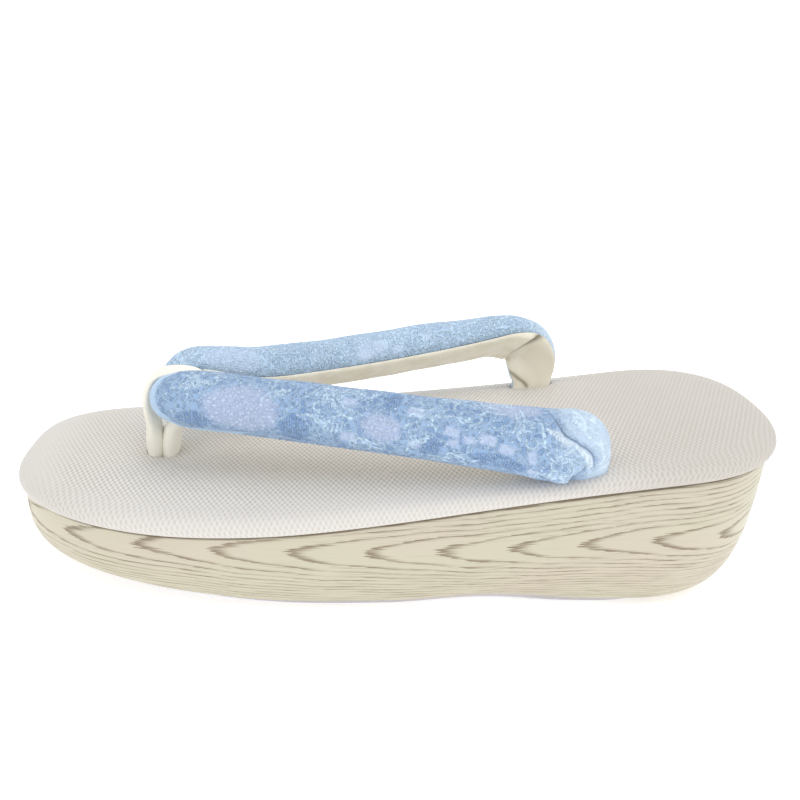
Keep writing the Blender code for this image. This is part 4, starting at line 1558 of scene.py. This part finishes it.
def build_straps(sole, cloth, colours):
    """The padded lace strap: one tube from the right slot round the neck to the left slot.

    Its sections are at even steps along the crown of its face. Its surface is pushed out along its
    normals by the unevenness and swells of the padding, and in by the folds. The UV map holds metres
    along the strap and round it.
    """
    left, right = (arm_frames(sole, rows) for rows in (LEFT_ARM_ROWS, RIGHT_ARM_ROWS))
    frames = smooth_rows(np.vstack((mirrored(right)[:0:-1], left)), ROW_POINTS)
    middle = (len(right) - 1) * ROW_POINTS
    shape = strap_section(cloth.sides)
    crown = shape[:, 1].argmax()
    crown_run = run_along(swept_grid(frames, shape)[:, crown])
    even = np.linspace(0.0, crown_run[-1], int(crown_run[-1] / cloth.spacing))
    along = run_along(frames[:, :3])
    along = np.interp(even, crown_run, along - along[middle]) * MILLIMETRES
    frames = np.column_stack([np.interp(even, crown_run, column) for column in frames.T])
    grid = swept_grid(frames, shape)
    steps = np.linalg.norm(np.roll(grid, -1, axis=1) - grid, axis=2) * MILLIMETRES
    run = np.concatenate((np.zeros((len(grid), 1)), np.cumsum(steps, axis=1)), axis=1)
    up = run - run[:, crown : crown + 1]
    there = np.broadcast_to(along[:, None], up.shape)
    around, length = up[:, :-1], there[:, :-1]
    layout = lace_layout(length, around)
    on_face = ease((shape[:, 1] - FACE_FROM) / FACE_FADE)[None, :]
    free = ease((STRAP_FREE_LENGTH - np.abs(length)) / STRAP_FREE_FADE)
    sunk = SUNK_NET * ease(-layout["net"]) + SUNK_RIB * ease(-layout["rib"])
    push = puff_height(length, around) * cloth.puff * MILLIMETRES - sunk
    push = (push - crease_depth(length, around)) * on_face + swell_height(length, around)
    grid = grid + grid_normals(grid) * (push * free)[..., None] / MILLIMETRES
    points, patches = capped(grid, np.stack((there, up), axis=-1) / MILLIMETRES)
    tip_values = (FAR_OFF, FAR_OFF)
    channels = [(name, np.append(values.ravel(), tip_values)) for name, values in layout.items()]
    material = strap_lace(cloth, colours)
    piece = add_piece("lace_strap", points, patches, "lace", material, "straps", channels)
    return piece


def build_lining(name, node, frames, material, leg_shade_share, ledge):
    """An arm's lining: a thin strip that follows the strap's underside, with rounded edges.

    A section runs across the underside, round the edge as a half circle and back, one thickness
    lower. The strip widens over its leg, soft waves make it lie unevenly, and a ledge stands over
    the leg's top where the strip is folded. A fold is a Gaussian trough along a segment, and its
    depth is also kept as the crease attribute, which paints shade along the fold.
    """
    frames = smooth_rows(frames, ROW_POINTS)
    run = run_along(frames[:, :3]) * MILLIMETRES
    to_end = (run[-1] - run)[:, None]
    cover = LINING_SHARE + (leg_shade_share - LINING_SHARE) * ease((LEG_LENGTH - to_end) / LEG_FADE)
    across_share = np.linspace(-1.0, 1.0, LINING_POINTS)[None]
    shares = across_share * cover
    centre, across, face, width, thick = split(frames)
    side = shares * width[:, :, 0] / 2
    turn = np.abs(shares) ** (1 / FLAT_SQUARENESS[0])
    depths = FLAT_SHARE * (1 - turn**2) ** (FLAT_SQUARENESS[1] / 2)
    upper = -depths * thick[:, :, 0] - GAP
    edge = np.clip((1.0 - np.abs(across_share)) / LINING_EDGE, 0.0, 1.0)
    rounding = np.sqrt(np.clip(1.0 - (1.0 - edge) ** 2, LINING_LEAST, 1.0))
    wave = np.sin(run[:, None] / LINING_WAVE_SHORT + shares * LINING_SLANT_SHORT)
    wave = wave * np.sin(run[:, None] / LINING_WAVE_LONG + shares * LINING_SLANT_LONG)
    past = to_end - FOLD_PLACE - FOLD_SLANT * across_share
    shelf = ledge * ease(past / FOLD_STEP) * ease((FOLD_REACH - past) / FOLD_REACH)
    fold = np.zeros(shelf.shape)
    for from_end, place, length, turned, wide, deep in LINING_FOLDS if ledge else ():
        row = (from_end, place, length, turned)
        away = segment_distance(to_end, across_share * LINING_HALF_WIDTH, row)
        fold = np.maximum(fold, deep * np.exp(-((away / wide) ** 2)))
    half = LINING_THICKNESS / 2
    upper_line = upper - half + half * rounding
    lower_line = upper - half - half * rounding * (1.0 + LINING_WAVE * wave + shelf - 2.0 * fold)
    # Painted shade along the folds, kept on the strip's lower face as the crease attribute
    dark = np.concatenate((fold * 0.0, fold[:, ::-1]), axis=1).ravel()
    table = np.concatenate(
        (np.stack((side, upper_line), -1), np.stack((side, lower_line), -1)[:, ::-1]), axis=1
    )
    grid = centre + table[..., :1] * across + table[..., 1:] * face
    ids = numbered(grid)
    first = np.column_stack((ids[0, :LINING_POINTS], ids[0, LINING_POINTS:][::-1]))
    last = np.column_stack((ids[-1, :LINING_POINTS], ids[-1, LINING_POINTS:][::-1]))[:, ::-1]
    flat = np.zeros((*first.shape, 2))
    uv = np.zeros((len(grid), 2 * LINING_POINTS + 1, 2))
    patches = [patch(closed(ids), uv), patch(first, flat), patch(last, flat)]
    shading = (("crease", dark),)
    return add_piece(
        name, grid.reshape(-1, 3), patches, "flat", material, node, shading
    )


def build_loop(sole, material):
    """The toe loop: a band bent over the neck, whose two plump legs stand side by side in the insole.

    Its section is an ellipse whose sides are squared by a power of the cosine, set across the path.
    A sine along the band makes its thickness a little uneven.
    """
    rows = smooth_rows(LOOP_ROWS, ROW_STEPS)
    table = dict(zip(LOOP_COLUMNS, rows.T))
    path = np.column_stack((table["x"], table["up"] + top_height(sole, table["x"])))
    along = unit(np.gradient(path, axis=0))
    fine = smooth_rows(np.column_stack((path, along, table["width"], table["thick"])), LOOP_POINTS)
    turn = np.arange(LOOP_SIDES) * 2 * np.pi / LOOP_SIDES
    broad = np.sign(np.cos(turn)) * np.abs(np.cos(turn)) ** LOOP_SQUARENESS / 2
    tall = np.sin(turn) / 2
    way = unit(fine[:, 2:4])
    length = run_along(fine[:, :2]) * MILLIMETRES
    soft = 1.0 + LOOP_RIPPLE * np.sin(length / LOOP_RIPPLE_LENGTH)[:, None]
    out = tall[None] * fine[:, 5:6] * soft
    x = fine[:, 0:1] + out * way[:, 1:2]
    y = broad[None] * fine[:, 4:5]
    z = fine[:, 1:2] - out * way[:, 0:1]
    grid = np.stack((x, y, z), axis=-1)
    points, patches = capped(grid, np.zeros((len(grid), LOOP_SIDES + 1, 2)))
    return add_piece("toe_loop", points, patches, "flat", material, "toe_post")


def build_camera():
    """The camera at the photograph's place, turned by its azimuth, elevation and roll."""
    azimuth, elevation, roll = np.radians((CAMERA_AZIMUTH, CAMERA_ELEVATION, CAMERA_ROLL))
    back = np.array(
        (np.sin(azimuth) * np.cos(elevation), np.cos(azimuth) * np.cos(elevation), np.sin(elevation))
    )
    right = unit(np.cross(-back, (0.0, 0.0, 1.0)))
    up = np.cross(back, right)
    rolled_right = np.cos(roll) * right + np.sin(roll) * up
    rolled_up = -np.sin(roll) * right + np.cos(roll) * up
    data = bpy.data.cameras.new("photo_camera")
    data.lens = CAMERA_LENS
    data.sensor_width = SENSOR_WIDTH
    data.clip_start = CLIP_START
    data.clip_end = CLIP_END
    camera = bpy.data.objects.new("photo_camera", data)
    turned = Matrix(np.column_stack((rolled_right, rolled_up, back)).tolist()).to_4x4()
    camera.matrix_world = Matrix.Translation(Vector(CAMERA_PLACE)) @ turned
    bpy.context.scene.collection.objects.link(camera)
    bpy.context.scene.camera = camera


def build_stage(colours):
    """A pale floor that sweeps up behind the sandal in a quarter circle, soft lights and a pale world."""
    turn = np.linspace(0.0, np.pi / 2, SWEEP_ROWS)
    flat = np.column_stack((np.linspace(FLOOR_FRONT, FLOOR_BACK, FLOOR_ROWS), np.zeros(FLOOR_ROWS)))
    bend = np.column_stack((-np.sin(turn), 1.0 - np.cos(turn))) * SWEEP_RADIUS + (FLOOR_BACK, 0.0)
    line = np.vstack((flat, bend[1:], (FLOOR_BACK - SWEEP_RADIUS, SWEEP_TOP)))
    sides = [np.column_stack((np.full(len(line), x), line)) for x in (-FLOOR_HALF_WIDTH, FLOOR_HALF_WIDTH)]
    grid = np.stack(sides, axis=1)
    mesh = bpy.data.meshes.new("studio_floor")
    mesh.from_pydata(grid.reshape(-1, 3).tolist(), [], patch(numbered(grid), grid[..., :2])[0].tolist())
    mesh.shade_smooth()
    finish = Finish("studio_paper")
    grain = finish.noises(PAPER_NOISES, *finish.place()).grain
    low = darker(colours.floor, PAPER_SHADE)
    finish.set(Base_Color=finish.mix(grain, low, linear(colours.floor)), Roughness=0.9)
    finish.set(Emission_Color=WHITE, Emission_Strength=FLOOR_GLOW)
    mesh.materials.append(finish.material)
    floor = bpy.data.objects.new("studio_floor", mesh)
    bpy.context.scene.collection.objects.link(floor)
    for name, px, py, pz, width, height, watts in LIGHTS:
        data = bpy.data.lights.new(name, "AREA")
        data.shape = "RECTANGLE"
        data.size, data.size_y, data.energy = width, height, watts
        lamp = bpy.data.objects.new(name, data)
        lamp.location = (px, py, pz)
        aim = Vector(LIGHT_TARGET) - lamp.location
        lamp.rotation_euler = aim.to_track_quat("-Z", "Y").to_euler()
        bpy.context.scene.collection.objects.link(lamp)
    world = bpy.data.worlds.new("studio_world")
    world.use_nodes = True
    backdrop = world.node_tree.nodes["Background"]
    backdrop.inputs["Color"].default_value = WHITE
    backdrop.inputs["Strength"].default_value = WORLD_STRENGTH
    bpy.context.scene.world = world
    bpy.context.scene.view_settings.view_transform = "Standard"


class ZORI_OT_platform(bpy.types.Operator):
    """Add the wedge platform in its printed wood-grain vinyl"""

    bl_idname = "zori.platform"
    bl_label = "Platform"

    def execute(self, context):
        build_platform(context.scene.zori_sole, context.scene.zori_colours)
        return {"FINISHED"}


class ZORI_OT_insole(bpy.types.Operator):
    """Add the cushioned insole in its woven cover"""

    bl_idname = "zori.insole"
    bl_label = "Insole"

    def execute(self, context):
        scene = context.scene
        build_insole(scene.zori_sole, scene.zori_cloth, scene.zori_colours)
        return {"FINISHED"}


class ZORI_OT_outsole(bpy.types.Operator):
    """Add the thin rubber outsole with its tread"""

    bl_idname = "zori.outsole"
    bl_label = "Outsole"

    def execute(self, context):
        build_outsole(context.scene.zori_sole, context.scene.zori_colours)
        return {"FINISHED"}


class ZORI_OT_straps(bpy.types.Operator):
    """Add the padded thong strap in blue lace"""

    bl_idname = "zori.straps"
    bl_label = "Strap"

    def execute(self, context):
        scene = context.scene
        build_straps(scene.zori_sole, scene.zori_cloth, scene.zori_colours)
        return {"FINISHED"}


class ZORI_OT_linings(bpy.types.Operator):
    """Add the cream linings under the strap's arms"""

    bl_idname = "zori.linings"
    bl_label = "Linings"

    def execute(self, context):
        sole, colours = context.scene.zori_sole, context.scene.zori_colours
        material = cream_suede("cream_lining_suede", colours)
        left = arm_frames(sole, LEFT_ARM_ROWS)
        right = mirrored(arm_frames(sole, RIGHT_ARM_ROWS))
        for name, node, frames, (first, last, tuck), leg_shade_share, ledge in (
            ("lining_left", "strap_lining_left", left, LEFT_LINING_ROWS, LINING_SHARE, 0.0),
            ("lining_right", "strap_lining_right", right, RIGHT_LINING_ROWS, LEG_SHARE, LEDGE),
        ):
            part = frames[first * ROW_STEPS : last * ROW_STEPS + 1 + tuck]
            build_lining(name, node, part, material, leg_shade_share, ledge)
        return {"FINISHED"}


class ZORI_OT_loop(bpy.types.Operator):
    """Add the cream toe loop that holds the strap's neck"""

    bl_idname = "zori.loop"
    bl_label = "Toe loop"

    def execute(self, context):
        scene = context.scene
        build_loop(scene.zori_sole, cream_suede("toe_loop_suede", scene.zori_colours))
        return {"FINISHED"}


class ZORI_OT_stage(bpy.types.Operator):
    """Add the camera, the pale floor and the soft lights"""

    bl_idname = "zori.stage"
    bl_label = "Stage"

    def execute(self, context):
        build_camera()
        build_stage(context.scene.zori_colours)
        return {"FINISHED"}


PIECES = ("platform", "insole", "outsole", "straps", "linings", "loop", "stage")
GROUPS = (("zori_sole", SoleSizes), ("zori_cloth", ClothSizes), ("zori_colours", Colours))


class ZORI_PT_pieces(bpy.types.Panel):
    """The sandal's pieces and their sizes and colours"""

    bl_label = "Zori sandal"
    bl_idname = "ZORI_PT_pieces"
    bl_space_type = "VIEW_3D"
    bl_region_type = "UI"
    bl_category = "Zori"

    def draw(self, context):
        layout = self.layout
        for name in PIECES:
            layout.operator(f"zori.{name}")
        for name, group in GROUPS:
            values = getattr(context.scene, name)
            box = layout.box()
            for key in group.__annotations__:
                box.prop(values, key)


CLASSES = (
    SoleSizes,
    ClothSizes,
    Colours,
    ZORI_OT_platform,
    ZORI_OT_insole,
    ZORI_OT_outsole,
    ZORI_OT_straps,
    ZORI_OT_linings,
    ZORI_OT_loop,
    ZORI_OT_stage,
    ZORI_PT_pieces,
)


def register():
    """Makes the classes and the scene's properties known to Blender."""
    for made in CLASSES:
        bpy.utils.register_class(made)
    for name, group in GROUPS:
        setattr(bpy.types.Scene, name, PointerProperty(type=group))


def unregister():
    """Takes the properties and classes out again."""
    for name, _ in GROUPS:
        delattr(bpy.types.Scene, name)
    for made in reversed(CLASSES):
        bpy.utils.unregister_class(made)


def main():
    register()
    for name in PIECES:
        getattr(bpy.ops.zori, name)()


if __name__ == "__main__":
    main()
